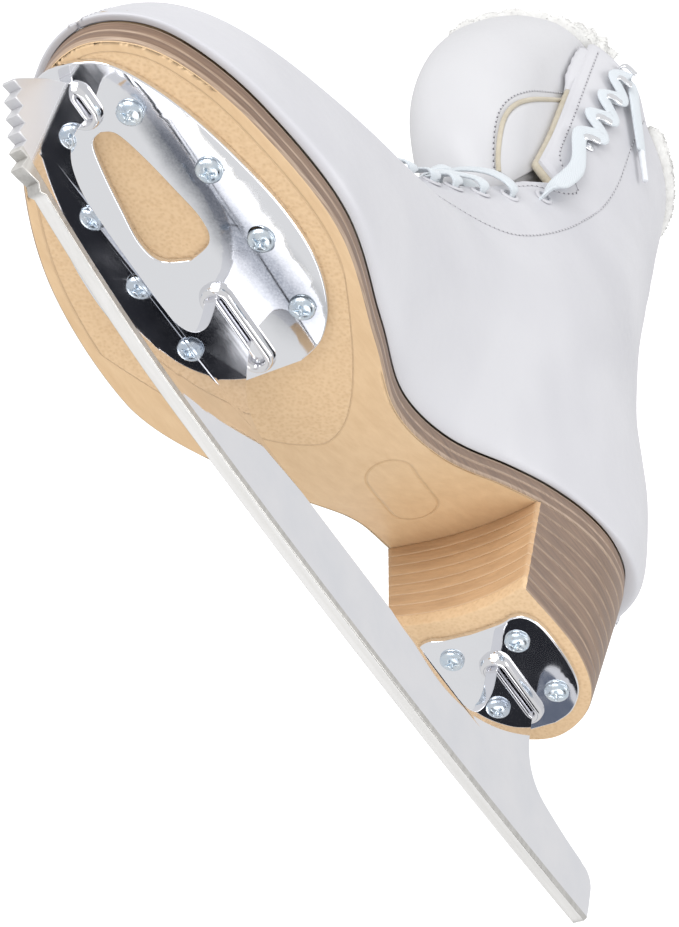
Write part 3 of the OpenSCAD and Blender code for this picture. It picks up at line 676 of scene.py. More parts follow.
def blade_outline():
    runner = np.array([[x, float(edge_z(x))] for x in np.linspace(-115.5, 160, 120)])
    first, last = np.array([169.8, 9.4]), np.array([182.2, 28.8])
    tips = [first + (last - first) * i / 5 for i in range(6)]
    teeth = []
    for tip in tips:
        teeth += [tip + [-3.05, 0.35], tip + [-0.2, -0.2], tip + [-0.05, 0.6]]
    front = curve_through([last + [-0.4, 1.2], [179, 34], [173.2, 41.5], [167.8, 47.1],
                           [166, front_under(166)]], 4)
    window = curve_through([[155, front_under(155)], [157.6, 44.5], [158.9, 39], [159, 33], [156.6, 27],
                            [150, 23], [140, 21.8], [128, 21.2], [118, 21], [108.5, 21.2], [102, 24.6],
                            [98, 30.5], [97.2, 37], [98, front_under(98)]], 5)
    front_post = curve_through([[81, front_under(81)], [80.6, 41], [79.5, 36], [77.5, 29], [73.5, 23.6],
                                [68, 21.1], [62, RUNNER_H]], 5)
    rear_post = curve_through([[-37, RUNNER_H], [-42, 21.4], [-46.5, 24.5], [-50, 31], [-51.8, 39],
                               [-51.6, HEEL_PLATE_Z]], 5)
    rear_back = curve_through([[-73, HEEL_PLATE_Z], [-73.3, 43], [-73.8, 36], [-76, 30], [-79.6, 26],
                               [-84.5, 23.6], [-92, 22.2], [-101, 21], [-109, 20.4]], 5)
    tail = np.concatenate([arc2(-111.4, 14.6, 5.4, 84, 180), [[-117, 8], [-116.7, 4.5]]])
    pts = np.concatenate([runner, [[162, 8.6], [163.6, 10.6]], np.array(teeth), front, window, front_post,
                          rear_post, rear_back, tail])
    keep = np.linalg.norm(np.diff(pts, axis=0, prepend=pts[-1:]), axis=1) > 0.05
    return pts[keep]


def inward(outline, d):
    """The outline moved inward by d, for an outline that runs counter-clockwise."""
    nxt, prv = np.roll(outline, -1, 0), np.roll(outline, 1, 0)
    e1, e0 = unit(nxt - outline), unit(outline - prv)
    n1, n0 = np.stack([-e1[:, 1], e1[:, 0]], -1), np.stack([-e0[:, 1], e0[:, 0]], -1)
    b = n0 + n1
    return outline + d * b / np.maximum((b * n0).sum(-1, keepdims=True), 0.5)


BLADE_EDGE, FACE_END, SHARP_ANGLE = 0.28, 161, 50


def make_blade():
    o = blade_outline()
    half = BLADE_T / 2
    rings = [(o, half - BLADE_EDGE), (inward(o, 0.09), half - 0.09), (inward(o, BLADE_EDGE), half)]
    bm = bmesh.new()
    layers = []
    for sgn in (-1, 1):
        for ring, y in rings[::sgn]:
            layers.append([bm.verts.new((x * MM, sgn * y * MM, z * MM)) for x, z in ring])
    for lower, upper in zip(layers, layers[1:]):
        for i in range(len(o)):
            j = (i + 1) % len(o)
            bm.faces.new([lower[i], lower[j], upper[j], upper[i]])
    for side in (layers[0], layers[-1]):
        for tri in tessellate_polygon([[Vector((v.co.x / MM, v.co.z / MM, 0)) for v in side]]):
            bm.faces.new([side[i] for i in tri])
    me = finished("blade_body", bm, STEEL)
    co = np.array([v.co for v in me.vertices]) / MM
    rim = np.abs(np.abs(co[:, 1]) - (half - BLADE_EDGE)) < 0.02
    face = rim & (co[:, 2] < edge_z(co[:, 0]) + 0.5) & (co[:, 0] < FACE_END)
    me.attributes.new("face", "FLOAT", "POINT").data.foreach_set("value", face.astype(np.float32))
    me.set_sharp_from_angle(angle=math.radians(SHARP_ANGLE))
    even_shading(link("blade_body", me, SKATE, ["blade"]), 100)


# ---- plates and screws -----------------------------------------------------------------

FRONT_HALF = [[171.5, 0], [170.6, 6], [167, 13], [158.5, 19], [146, 24.3], [130, 28.5], [112, 31.3],
              [96, 30.8], [82, 26], [73, 18.5], [69.2, 10]]
HEEL_HALF = [[-39.8, 0], [-39.2, 9], [-38, 14], [-39.6, 18], [-46, 20.3], [-60, 20.5], [-70.5, 18.2],
             [-78, 12], [-81, 5]]
WINDOW_HALF = [[151, 0], [149, 3.6], [141, 6], [130, 8], [118.5, 9.6], [111.5, 7.6], [108.5, 0]]
FRONT_SCREWS = [[153, 10.7], [130.4, 20], [107, 21], [84.3, 19.6]]
HEEL_SCREWS = [[-46.7, 10.8], [-68.9, 11.7]]
SLOT_SCREW, SLOT_HALF, SCREW_D, HOLE_ROOM = 2, 1.4, 4.0, 0.35
PLATE_EDGE, TOP_EDGE = 0.45, 0.2


def heel_under(x):
    return HEEL_PLATE_Z + 0 * np.asarray(x, float)


def both_halves(half):
    side = curve_through(half, 8)
    return np.concatenate([side, (side * [1, -1])[::-1][side[::-1][:, 1] > 0.01]])


def plate_mesh(name, outline, holes, lift, node):
    """A plate with rounded edges, its underside at lift(x)."""
    bm = bmesh.new()
    levels = [(PLATE_EDGE, 0), (PLATE_EDGE * 0.3, PLATE_EDGE * 0.3), (0, PLATE_EDGE),
              (0, PLATE_T - TOP_EDGE), (TOP_EDGE, PLATE_T)]
    stacks = []
    for k, pts in enumerate([outline] + holes):
        pts, sign = pts if area_of(pts) > 0 else pts[::-1], -1 if k else 1
        stacks.append([[bm.verts.new((*p, z)) for p in inward(pts, sign * d)] for d, z in levels])
    for stack in stacks:
        for lo, hi in zip(stack, stack[1:]):
            for i in range(len(lo)):
                j = (i + 1) % len(lo)
                bm.faces.new([lo[i], lo[j], hi[j], hi[i]])
    for level in (0, -1):
        edges = [bm.edges.get([a, b]) for stack in stacks
                 for a, b in zip(stack[level], stack[level][1:] + stack[level][:1])]
        bmesh.ops.triangle_fill(bm, use_beauty=True, use_dissolve=False, edges=edges)
    for v in bm.verts:
        v.co.z += float(lift(v.co.x))
    bmesh.ops.scale(bm, vec=(MM, MM, MM), verts=bm.verts)
    even_shading(link(name, finished(name, bm, CHROME), SKATE, [node]), 80)


def area_of(p):
    q = np.roll(p, -1, 0)
    return float((p[:, 0] * q[:, 1] - q[:, 0] * p[:, 1]).sum() / 2)


def circle(x, y, r, slot=0.0):
    a = turn(24)
    return np.stack([x + r * np.cos(a) + slot * np.sign(np.round(np.cos(a), 6)), y + r * np.sin(a)], -1)


def pill_ring(cx, half_l, radius, half_w, lift):
    """A pressed bead that runs round the post's slot: a rounded ridge on a pill-shaped line."""
    rings, n = 15, 72
    d = np.linspace(-1, 1, rings)[:, None]
    b = turn(n)[None] + np.pi / n
    reach = radius + d * half_w
    x = cx + half_l * np.sign(np.cos(b)) + reach * np.cos(b)
    y = reach * np.sin(b)
    z = lift(x) + BEAD_SINK - (BEAD_H + BEAD_SINK) * (1 - np.abs(d) ** 2.4) ** 0.8
    return np.stack([x, y, z], -1).reshape(-1, 3), grid_faces(rings, n, close_cols=True, flip=True).tolist()


# centre, half length, radius and half width of each bead
FRONT_BEADS = [[85.5, 10, 3.3, 1.75], [160, 2.2, 3.2, 1.6]]
HEEL_BEADS = [[-63, 9.5, 3.3, 1.75]]
BEAD_H, BEAD_SINK = 2.7, 0.3


def make_plates():
    r = SCREW_D / 2 + HOLE_ROOM
    front = [both_halves(WINDOW_HALF)]
    for i, (x, y) in enumerate(FRONT_SCREWS):
        front += [circle(x, s * y, r, SLOT_HALF if i == SLOT_SCREW else 0.0) for s in (-1, 1)]
    heel = [circle(x, s * y, r) for x, y in HEEL_SCREWS for s in (-1, 1)]
    plate_mesh("front_plate_pressed", both_halves(FRONT_HALF), front, front_under, "front_plate")
    plate_mesh("heel_plate_pressed", both_halves(HEEL_HALF), heel, heel_under, "heel_plate")
    for part, beads, lift in (("front", FRONT_BEADS, front_under), ("heel", HEEL_BEADS, heel_under)):
        batch = Batch()
        for bead in beads:
            batch.add(*pill_ring(*bead, lift))
        batch.make(f"{part}_plate_beads", CHROME_RIB, slot="plate_chrome")


# A pan head 7.2 mm across: its rings, its height, and the half length and half width of its recess
HEAD_RINGS = [0.02, 0.25, 0.5, 0.75, 1.0, 1.25, 1.5, 1.75, 2.0, 2.3, 2.6, 2.9, 3.2, 3.4, 3.55, 3.6]
HEAD_H, CROSS_L, CROSS_W, CROSS_MIDDLE, CROSS_DEPTH = 2.2, 1.95, 0.42, 0.85, 1.15
SHANK = [(3.6, 0.0), (SCREW_D / 2, 0.0), (SCREW_D / 2, 7.6), (0.6, 9.6)]


def screw_mesh(spin):
    """A pan head with a cross recess and a tapered shank, head down, its seat at z 0."""
    n = 72
    r, a = np.meshgrid(HEAD_RINGS + [q for q, _ in SHANK], turn(n), indexing="ij")
    x, y = r * np.cos(a), r * np.sin(a)
    dome = -HEAD_H * np.sqrt(np.clip(1 - (r / 3.75) ** 3.2, 0, 1))
    u, v = np.abs(x * math.cos(spin) + y * math.sin(spin)), np.abs(y * math.cos(spin) - x * math.sin(spin))
    arm = np.minimum(np.maximum(u - CROSS_L, v - CROSS_W), np.maximum(v - CROSS_L, u - CROSS_W))
    arm = np.minimum(arm, np.hypot(u, v) - CROSS_MIDDLE)
    z = dome + smooth(-arm / 0.28) * CROSS_DEPTH * (1 - 0.35 * smooth(r / 2.0))
    z[len(HEAD_RINGS):] = np.array([h for _, h in SHANK])[:, None]
    faces = grid_faces(len(r), n, close_cols=True).tolist()
    faces += [list(range(n))[::-1], [(len(r) - 1) * n + i for i in range(n)]]
    return np.stack([x, y, z], -1).reshape(-1, 3), faces


def make_screws():
    c, s = math.cos(PLATE_RISE), math.sin(PLATE_RISE)
    tilt = np.array([[c, 0, -s], [0, 1, 0], [s, 0, c]])
    for part, places, lift, matrix, spin in (("front", FRONT_SCREWS, front_under, tilt, (0.4, 0.9, 0.6)),
                                             ("heel", HEEL_SCREWS, heel_under, np.eye(3), (0.2, 1.1, 0.7))):
        batch = Batch()
        for i, (x, y) in enumerate(places):
            for k, side in enumerate((-1, 1)):
                v, f = screw_mesh(spin[0] + spin[1] * i + spin[2] * k)
                batch.add(v @ matrix.T + [x, side * y, float(lift(x)) - 0.02], f)
        batch.make(f"{part}_screws_pan_head", ZINC, slot="screw_steel", stands_for=[f"{part}_plate_screws"])


# ---- sole and heel ---------------------------------------------------------------------

OUTLINE_N, SOLE_RINGS, TOP_RINGS = 420, 26, 8
LAYER_GAP = 0.02


def sole_layer(name, low, high, inset, mats, slot, node, round_low, round_high, belly=0.0):
    """One layer of the sole between two heights above the outsole's underside, with its own edge section."""
    e = sole_edge(np.linspace(0, 360, OUTLINE_N, endpoint=False))
    t = unit(np.roll(e, -1, 0) - np.roll(e, 1, 0))
    outside = np.stack([t[:, 1], -t[:, 0]], -1)
    e = e - inset * outside
    mid_x = np.clip(e[:, 0], -72, 148)
    centre = np.stack([mid_x, np.interp(mid_x, [-94, 0, 60, 110, 174], [0, -0.8, -5, -1.5, 6])], -1)
    full = np.linalg.norm(e - centre, axis=1)
    section = []

    def ring(offset, h, layer):
        add(e + outside * offset, h, np.full(OUTLINE_N, -offset), layer)

    def inner_ring(f, h):
        add(centre + (e - centre) * f, h, full * (1 - f), 0.5)

    def add(p, h, rim, layer):
        z = sole_z(p[:, 0]) + h
        section.append(np.stack([p[:, 0], p[:, 1], z, rim, np.full(OUTLINE_N, layer)], -1))

    for f in np.linspace(0.0, 0.97, SOLE_RINGS):
        inner_ring(f, low)
    for b in np.linspace(0, np.pi / 2, 5):
        ring(-round_low * (1 - math.sin(b)), low + round_low * (1 - math.cos(b)), 0.0)
    for g in np.linspace(0.15, 0.85, 5):
        h = low + round_low + (high - low - round_low - round_high) * g
        ring(belly * math.sin(math.pi * g), h, g)
    for b in np.linspace(0, np.pi / 2, 4):
        ring(-round_high * (1 - math.cos(b)), high - round_high * (1 - math.sin(b)), 1.0)
    for f in np.linspace(0.96, 0.0, TOP_RINGS):
        inner_ring(f, high)
    x, y, z, rim, layer = np.concatenate(section).T
    tread = x - 38 - 27 * (np.abs(y + 3) / 26) ** 1.7
    oval = np.hypot(np.maximum(np.abs(x - 4) - 11, 0), y + 1 - 0.33 * (x - 4)) / 7.5
    faces = grid_faces(len(section), OUTLINE_N, close_cols=True)
    ob = put(name, np.stack([x, y, z], -1), faces, mats[0], slot=slot, stands_for=[node],
             attributes={"rim": rim, "tread": tread, "oval": oval, "layer": layer})
    if len(mats) > 1:
        row = np.arange(len(faces)) // OUTLINE_N
        paint(ob, mats[1], ((row > SOLE_RINGS) & (row < SOLE_RINGS + 12)).astype(int).tolist())


HEEL_Z0 = HEEL_PLATE_Z + PLATE_T
HEEL_LAYERS = 8
BREAST_X, BREAST_LEAN, BREAST_HOLLOW = -29.5, 4.5, 4.0


HEEL_ARC_N, HEEL_BREAST_N = 110, 44


def heel_loop(f):
    """The heel's outline at height share f: round the back from corner to corner, then the hollow breast."""
    sx, sy = 0.885 + 0.115 * f, 0.87 + 0.13 * f
    front = BREAST_X + BREAST_LEAN * f
    e = sole_edge(np.linspace(60, 300, 1600)) * [sx, sy]
    e[:, 0] -= 44 * (1 - sx)
    arc = e[e[:, 0] <= front - 1.2]
    seg = run_length(arc)
    s = np.linspace(0, seg[-1], HEEL_ARC_N)
    arc = np.stack([np.interp(s, seg, arc[:, 0]), np.interp(s, seg, arc[:, 1])], -1)
    y0, y1 = arc[-1, 1], arc[0, 1]
    y = (y0 + 0.6) + (y1 - y0 - 1.2) * np.linspace(0, 1, HEEL_BREAST_N)
    x = front - BREAST_HOLLOW * (1 - ((y - (y1 + y0) / 2) / ((y1 - y0) / 2)) ** 2)
    return np.concatenate([arc, np.stack([x, y], -1)])


def layer_height(f, x):
    return HEEL_Z0 + (sole_z(x) - HEEL_Z0) * f


# A lift's rings as (share of its height, inset), and the rings that close its two flat faces
LIFT_SECTION = [(0.0, 0.22), (0.03, 0.07), (0.09, 0), (0.35, 0), (0.65, 0), (0.91, 0), (0.97, 0.07),
                (1.0, 0.22)]
FLAT_RINGS, HEEL_MIDDLE = (0.05, 0.4, 0.75), np.array([-58.0, 0.0])


def heel_ring(f, inset, share=1.0):
    p = HEEL_MIDDLE + (inward(heel_loop(f), inset) - HEEL_MIDDLE) * share
    return np.concatenate([p, layer_height(f, p[:, 0])[:, None]], 1)


def make_heel():
    n, flat, rows = HEEL_ARC_N + HEEL_BREAST_N, len(FLAT_RINGS), len(LIFT_SECTION) + 2 * len(FLAT_RINGS)
    layer = [0.5] * flat + [g for g, _ in LIFT_SECTION] + [0.5] * flat
    faces = grid_faces(rows, n, close_cols=True).tolist()
    faces += [list(range(n))[::-1], [(rows - 1) * n + i for i in range(n)]]
    row, col = np.divmod(np.arange(len(faces)), n)
    side = (row >= flat) & (row < flat + len(LIFT_SECTION) - 1)
    breast = col >= HEEL_ARC_N - 1
    for k in range(HEEL_LAYERS):
        f0, f1 = k / HEEL_LAYERS, (k + 1) / HEEL_LAYERS
        rings = [heel_ring(f0, LIFT_SECTION[0][1], share) for share in FLAT_RINGS]
        rings += [heel_ring(f0 + (f1 - f0) * g, inset) for g, inset in LIFT_SECTION]
        rings += [heel_ring(f1, LIFT_SECTION[-1][1], share) for share in FLAT_RINGS[::-1]]
        node = f"heel_lift_{k}" if k else "heel_top_piece"
        flat_value = np.ones(rows * n)
        ob = put(f"{node}_leather", np.concatenate(rings), faces, BROWN if k else TAN,
                 slot="welt_leather" if k else "sole_leather", stands_for=[node],
                 attributes={"layer": np.repeat(layer, n), "rim": 6 * flat_value, "tread": 5 * flat_value,
                             "oval": 9 * flat_value})
        paint(ob, BREAST if k else BROWN, (side & (breast if k else ~breast)).astype(int).tolist())


make_blade()
make_plates()
make_screws()
sole_layer("outsole_leather", LAYER_GAP, OUTSOLE_T - LAYER_GAP, 0.0, [TAN, BROWN], "sole_leather", "outsole",
           0.9, 0.25, 0.15)
sole_layer("midsole_leather", OUTSOLE_T + LAYER_GAP, OUTSOLE_T + MIDSOLE_T - LAYER_GAP, 0.15, [BROWN],
           "welt_leather", "midsole", 0.3, 0.8, 0.25)
make_heel()


# ---- uppers ----------------------------------------------------------------------------

def t_values(n, t0=0.0, t1=1.0):
    base = np.linspace(t0, t1, n)
    extra = [k for k in (0.44, 0.46, 0.48, 0.74, 0.765, 0.8) if t0 < k < t1]
    return np.unique(np.concatenate([base, extra]))


def wear(t, a):
    """Slow unevenness of the leather: a soft hollow at the ankle and shallow creases over the instep."""
    fa = np.where(a % 360 <= 180, a % 360, 360 - a % 360)
    crease = 0.22 * np.sin(t * 95 + 0.06 * fa) * np.exp(-((t - 0.72) / 0.07) ** 2 - ((fa - 95) / 45) ** 2)
    vamp = 0.16 * np.sin(t * 120 + 0.12 * fa) * np.exp(-((t - 0.40) / 0.04) ** 2 - (fa / 60) ** 2)
    ankle = 0.9 * np.exp(-((t - 0.5) / 0.09) ** 2 - ((fa - 128) / 26) ** 2)
    puff = 0.5 * np.exp(-((t - 0.9) / 0.12) ** 2 - ((fa - 60) / 22) ** 2)
    return crease + vamp + ankle + puff


def upper_half(name, side, node):
    t = t_values(170)
    lo = throat(t)[:, None]
    fa = lo + (179.9 - lo) * (np.linspace(0, 1, 130) ** 1.15)[None]
    a = fa if side > 0 else 360 - fa
    tt = np.broadcast_to(t[:, None], a.shape)
    # edges roll inward at the throat and the front seam
    roll = 0.9 * (1 - smooth((fa - lo) * 0.6 / 2.4)) ** 2
    seam_front = 0.7 * (1 - smooth((fa - 0.15) * 0.8 / 1.6)) ** 2
    outer = on(tt, a, wear(tt, a) - roll * (tt > 0.46) - seam_front * (tt < 0.46))
    ob = shell(name, outer, on(tt, a, -LEATHER_T), WHITE, slot="white_leather", stands_for=[node])
    m = ob.modifiers.new("edge", "BEVEL")
    m.width, m.segments, m.limit_method, m.angle_limit = 0.35 * MM, 2, "ANGLE", math.radians(50)
    m.harden_normals = False


def surface_line(points, n, lift=0.0):
    """A smooth line on the boot through (t, a) points: positions and normals."""
    t, a = spline(points, np.linspace(0, 1, n + 1)).T
    return on(t, a, wear(t, a) + lift), outward(t, a)


# Stitch lines on the inner side: the curve behind the lacing, and the row along the throat's edge
CURVE_IN = [[0.43, 46], [0.445, 60], [0.47, 70], [0.507, 75], [0.555, 76.5], [0.60, 77], [0.65, 77.3],
            [0.70, 78], [0.75, 80], [0.79, 82], [0.83, 83.5], [0.864, 84], [0.90, 84.6], [0.94, 85.5],
            [0.985, 87]]
EDGE_IN = [[0.99, 50.5], [0.95, 50.5], [0.90, 50.5], [0.85, 50.2], [0.815, 51.5], [0.79, 57], [0.772, 64.5],
           [0.757, 66.5], [0.744, 63], [0.738, 56], [0.733, 49.5], [0.71, 44]]


TOE_SEAM = [[0.03, 2.2], [0.07, 2.2], [0.12, 2.4], [0.2, 2.6], [0.3, 3], [0.42, 3.6]]
BACK_SEAM_A = 5.2


def make_upper():
    upper_half("upper_medial_leather", 1, "upper_medial")
    upper_half("upper_lateral_leather", -1, "upper_lateral")
    thread, holes = Batch(), Batch()
    for points, n in ((CURVE_IN, 400), (EDGE_IN, 300)):
        stitches(thread, holes, *surface_line(points, n))
        stitches(thread, holes, *surface_line([[t, 360 - a] for t, a in points], n))
    for s in (1, -1):
        toe = [[t, s * a] for t, a in TOE_SEAM]
        stitches(thread, holes, *surface_line(toe, 200), pitch=3.0, length=2.3)
        back = [[t, 180 + s * BACK_SEAM_A] for t in (0.04, 0.3, 0.6, 0.985)]
        stitches(thread, holes, *surface_line(back, 300, 1.35))
    thread.make("stitch_thread", THREAD, slot="white_leather")
    # the needle holes are flat discs of painted shade
    holes.make("needle_holes", HOLE_SHADE, slot="white_leather")


def make_backstay():
    t = np.linspace(0.03, 0.995, 110)
    s = np.linspace(-1, 1, 23)
    half = 7 - 1.2 * smooth(t)
    a = 180 + half[:, None] * s[None]
    tt = np.broadcast_to(t[:, None], a.shape)
    h = wear(tt, a) + 0.05 + 1.25 * (1 - np.abs(s[None]) ** 7)
    end = smooth((tt - 0.03) / 0.012)
    shell("backstay_strip", on(tt, a, 0.06 + (h - 0.06) * end), on(tt, a, 0.02), WHITE,
          slot="white_leather", stands_for=["backstay"])


def make_facing_edge():
    """The cream padded edge that shows along the throat and round the notch."""
    parts = ((0.462, 0.74, 90), (0.742, 0.80, 40), (0.803, 0.985, 60))
    t = np.concatenate([np.linspace(*part) for part in parts])
    fold = smooth((t - 0.925) / 0.02)
    width = 2.0 + 0.9 * smooth((t - 0.74) / 0.05) + 3.4 * fold * (1 - 0.35 * smooth((t - 0.965) / 0.02))
    half_w = width * 0.55 * (1 + 0.05 * np.sin(np.arange(len(t)) * 1.7))
    cut = int(np.searchsorted(t, 0.928))
    # the pad's top corner is covered in white and folds out over the lobe
    ends = (("", slice(None, cut), 1.45, 2.6, CREAM, "stiffener"),
            ("_corner", slice(cut - 1, None), 1.6, 2.4, WHITE, "white_leather"))
    for side in ("medial", "lateral"):
        a = throat(t) + 0.2
        if side == "lateral":
            a = 360 - a
        centre = on(t, a, -LEATHER_T - 1.1 + 1.2 * fold)
        nrm = outward(t, a)
        sd = unit(np.cross(tangents(centre), nrm))
        for end, k, half_h, square, mat, slot in ends:
            sweep(f"facing_pad_{side}{end}", centre[k], sd[k], nrm[k], half_w[k], half_h, mat, 14, square,
                  slot=slot, stands_for=() if end else [f"eyestay_{side}"])


def make_lining():
    t = t_values(110, 0.01, 0.985)
    lo = throat(t)[:, None] + 0.6
    f = np.linspace(0, 1, 170)[None]
    a = lo + (360 - 2 * lo) * f
    # over the toe the cloth starts higher, clear of the tight turn into the sole
    raised = 0.07 * smooth((70 - np.minimum(a, 360 - a)) / 25)
    tt = raised + (0.985 - raised) / 0.985 * t[:, None]
    shell("lining_cloth", on(tt, a, -LINING_DEPTH), on(tt, a, -(LINING_DEPTH + LINING_T)), LINING,
          slot="lining_fabric", stands_for=["lining"])


def make_insides():
    base = OUTSOLE_T + MIDSOLE_T
    sole_layer("footbed_cloth_top", base + BOARD_T + LAYER_GAP, base + BOARD_T + 3.55, 8.0, [FOOTBED],
               "footbed_fabric", "footbed", 0.3, 1.2)
    for node in ("shank", "insole_board", "toe_box", "heel_counter"):
        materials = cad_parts[node].data.materials
        materials.clear()
        materials.append(DARK_STEEL if node == "shank" else FIBRE)


# ---- fleece ----------------------------------------------------------------------------

def hash_noise(p, scale, seed):
    """Smooth 3-D value noise in -1..1 at points p (mm)."""
    q = p / scale + seed * 17.3
    i = np.floor(q).astype(int)
    f = q - i
    f = f * f * (3 - 2 * f)

    def h(ix, iy, iz):
        n = (ix * 73856093) ^ (iy * 19349663) ^ (iz * 83492791) ^ (seed * 2654435)
        n = (n ^ (n >> 13)) * 1274126177
        return ((n & 0xffff) / 32767.5) - 1

    out = 0
    for dx in (0, 1):
        for dy in (0, 1):
            for dz in (0, 1):
                w = ((f[..., 0] if dx else 1 - f[..., 0]) * (f[..., 1] if dy else 1 - f[..., 1])
                     * (f[..., 2] if dz else 1 - f[..., 2]))
                out = out + w * h(i[..., 0] + dx, i[..., 1] + dy, i[..., 2] + dz)
    return out


def tufts(batch, points, normals, length, width):
    """Short curled tufts of pile standing on points of a surface."""
    faces = [[k, (k + 1) % 3, 3 + (k + 1) % 3, 3 + k] for k in range(3)]
    faces += [[3 + k, 3 + (k + 1) % 3, 6] for k in range(3)] + [[2, 1, 0]]
    for p, n in zip(points, normals):
        side = unit(np.cross(n, rng.normal(size=3)))
        lean = unit(n + side * rng.uniform(-0.7, 0.7) + np.cross(n, side) * rng.uniform(-0.7, 0.7))
        w = width * rng.uniform(0.7, 1.2)
        q = np.cross(lean, side)
        ln = length * rng.uniform(0.6, 1.15)
        tip = p + lean * ln + side * rng.uniform(-0.4, 0.4)
        ring = [w * (math.cos(b) * side + math.sin(b) * q) for b in (0, 2.1, 4.2)]
        root, waist = p - n * 0.25, p + lean * ln * 0.6
        batch.add([root + r for r in ring] + [waist + 0.8 * r for r in ring] + [tip], faces)


def fleece(points, normals, amount, seed):
    curl = 0.6 * hash_noise(points, 3.1, seed) + 0.4 * hash_noise(points, 1.4, seed + 3)
    return points + normals * (amount * curl)[..., None]


def make_collar():
    n, sides, start = 260, 28, 92
    centre = on(np.ones(n), np.linspace(start, 360 - start, n), -1.2) + [0, 0, COLLAR_R + 0.4]
    tan = tangents(centre)
    side = unit(np.cross(tan, [0, 0, 1.0]))
    up = np.cross(side, tan)
    cos, sin = np.cos(turn(sides)), np.sin(turn(sides))
    from_end = np.minimum(np.arange(n), np.arange(n)[::-1])
    taper = np.clip(from_end / 7.0, 0.05, 1) ** 0.5
    scallop = 1 + 0.14 * np.abs(np.sin(np.arange(n) * np.pi / 9.0))
    across = side[:, None] * (3.6 * cos)[:, None]
    p = centre[:, None] + taper[:, None, None] * (
        across + up[:, None] * ((COLLAR_R - 0.2) * sin)[:, None] * scallop[:, None, None])
    nrm = unit(side[:, None] * cos[:, None] + up[:, None] * sin[:, None])
    q = fleece(p, nrm, 0.45, 5)
    low = sin < -0.6
    q[:, low] = p[:, low]
    ob = put("collar_fleece", *tube(q, centre[0], centre[-1]), WOOL, slot="wool", stands_for=["collar_roll"])
    batch = Batch()
    pick = (rng.random((n, sides)) < 0.42) & (sin > -0.35)[None]
    tufts(batch, q[pick], nrm[pick], 0.75, 0.3)
    batch.make("collar_fleece_pile", WOOL, slot="wool")


# ---- tongue ----------------------------------------------------------------------------

HINGE_Z = 200
# The lobe level by level: its front line (x, z), shift in y, and the sizes of its outer oval and inner wing
LOBE_FRONT = [[17, HINGE_Z + 1.5], [26, 217], [31, 238], [30, 260], [23.5, 281], [12, 301], [-4, 316]]
LOBE_SHIFT = [2, -3.2, -6, -6, -6, -4.2, -1]
OUTER_DEPTH = [14, 22, 25, 26, 27, 26, 24]
OUTER_WIDTH = [18, 17, 18, 20, 21, 23, 26]
OUTER_WRAP = [36, 66, 80, 86, 86, 78, 30]
INNER_R = [12, 20, 23, 23, 23, 22, 22]
INNER_LENGTH = [22, 46, 62, 62, 56, 50, 34]
FACE_T, WOOL_T = 1.8, 4.5
TONGUE_DEPTH, TONGUE_PAD = 9.3, 4.0
# The leather of the lobe ends at these (u, v); the fleece border goes on to v = 1
LEATHER_TOP = [[-1, 0.82], [-0.35, 0.70], [-0.12, 0.675], [0.08, 0.745], [0.25, 0.83],
               [0.45, 0.885], [1, 0.89]]


def lobe(v, u, d):
    """A point of the lobe, d under its face: v from foot to tip, u from outer (-1) to inner (1)."""
    v, u, d = np.broadcast_arrays(np.asarray(v, float), np.asarray(u, float), np.asarray(d, float))
    f = spline(LOBE_FRONT, v)
    a = np.radians(np.minimum(u, 0) * spline(OUTER_WRAP, v))
    ox = -d - (spline(OUTER_DEPTH, v) - d) * (1 - np.cos(a))
    oy = (spline(OUTER_WIDTH, v) - d) * np.sin(a)
    r = spline(INNER_R, v)
    run = np.maximum(u, 0) * spline(INNER_LENGTH, v)
    b = np.minimum(np.pi / 2, run / r)
    straight = np.maximum(0, run - r * np.pi / 2)
    x = np.where(u < 0, ox, (r - d) * np.cos(b) - r - straight)
    y = np.where(u < 0, oy, (r - d) * np.sin(b))
    return np.stack([f[..., 0] + x, spline(LOBE_SHIFT, v) + y, f[..., 1]], -1)


def lobe_normal(v, u):
    v, u = np.broadcast_arrays(np.asarray(v, float), np.asarray(u, float))
    e = 0.01
    v = np.clip(v, e, 1 - e)
    return unit(np.cross(lobe(v, u + e, 0) - lobe(v, u - e, 0), lobe(v + e, u, 0) - lobe(v - e, u, 0)))


def leather_top(u):
    """Level where the lobe's leather stops; lower on the outer side."""
    key = np.array(LEATHER_TOP)
    return np.interp(u, key[:, 0], key[:, 1])


def tongue_half(t):
    return np.interp(t, [0.4, 0.7, 0.77], [50, 51, 44])


def make_tongue():
    """One leather skin from under the lacing up over the lobe. It bends at the lobe's foot."""
    u = np.linspace(-0.96, 0.96, 81)
    low_t = np.linspace(0.42, 0.765, 60)
    a = tongue_half(low_t)[:, None] * u[None]
    tt = np.broadcast_to(low_t[:, None], a.shape)
    lower = on(tt, a, -TONGUE_DEPTH)
    lower_in = on(tt, a, -(TONGUE_DEPTH + TONGUE_PAD))
    uu = np.broadcast_to(u[None], (110, len(u)))
    vv = np.linspace(0.0, 1.0, 110)[:, None] * leather_top(uu)
    roll = 1.5 * smooth((np.abs(uu) - 0.86) / 0.1) + 1.5 * smooth((vv - leather_top(uu) + 0.03) / 0.03)
    upper = lobe(vv, uu, 0.0) - lobe_normal(vv, uu) * (roll * 0.75)[..., None]
    upper_in = lobe(vv, uu, FACE_T)
    k = np.linspace(0, 1, 12)[1:-1, None, None]
    w = k * k * (3 - 2 * k)
    bridge = lower[-1][None] * (1 - w) + upper[0][None] * w
    bridge_in = lower_in[-1][None] * (1 - w) + upper_in[0][None] * w
    ob = shell("tongue_leather", np.concatenate([lower, bridge, upper]),
               np.concatenate([lower_in, bridge_in, upper_in]), WHITE_LOBE, body=None, slot="white_leather",
               stands_for=["tongue_face", "tongue_lower"])
    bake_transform(ob)


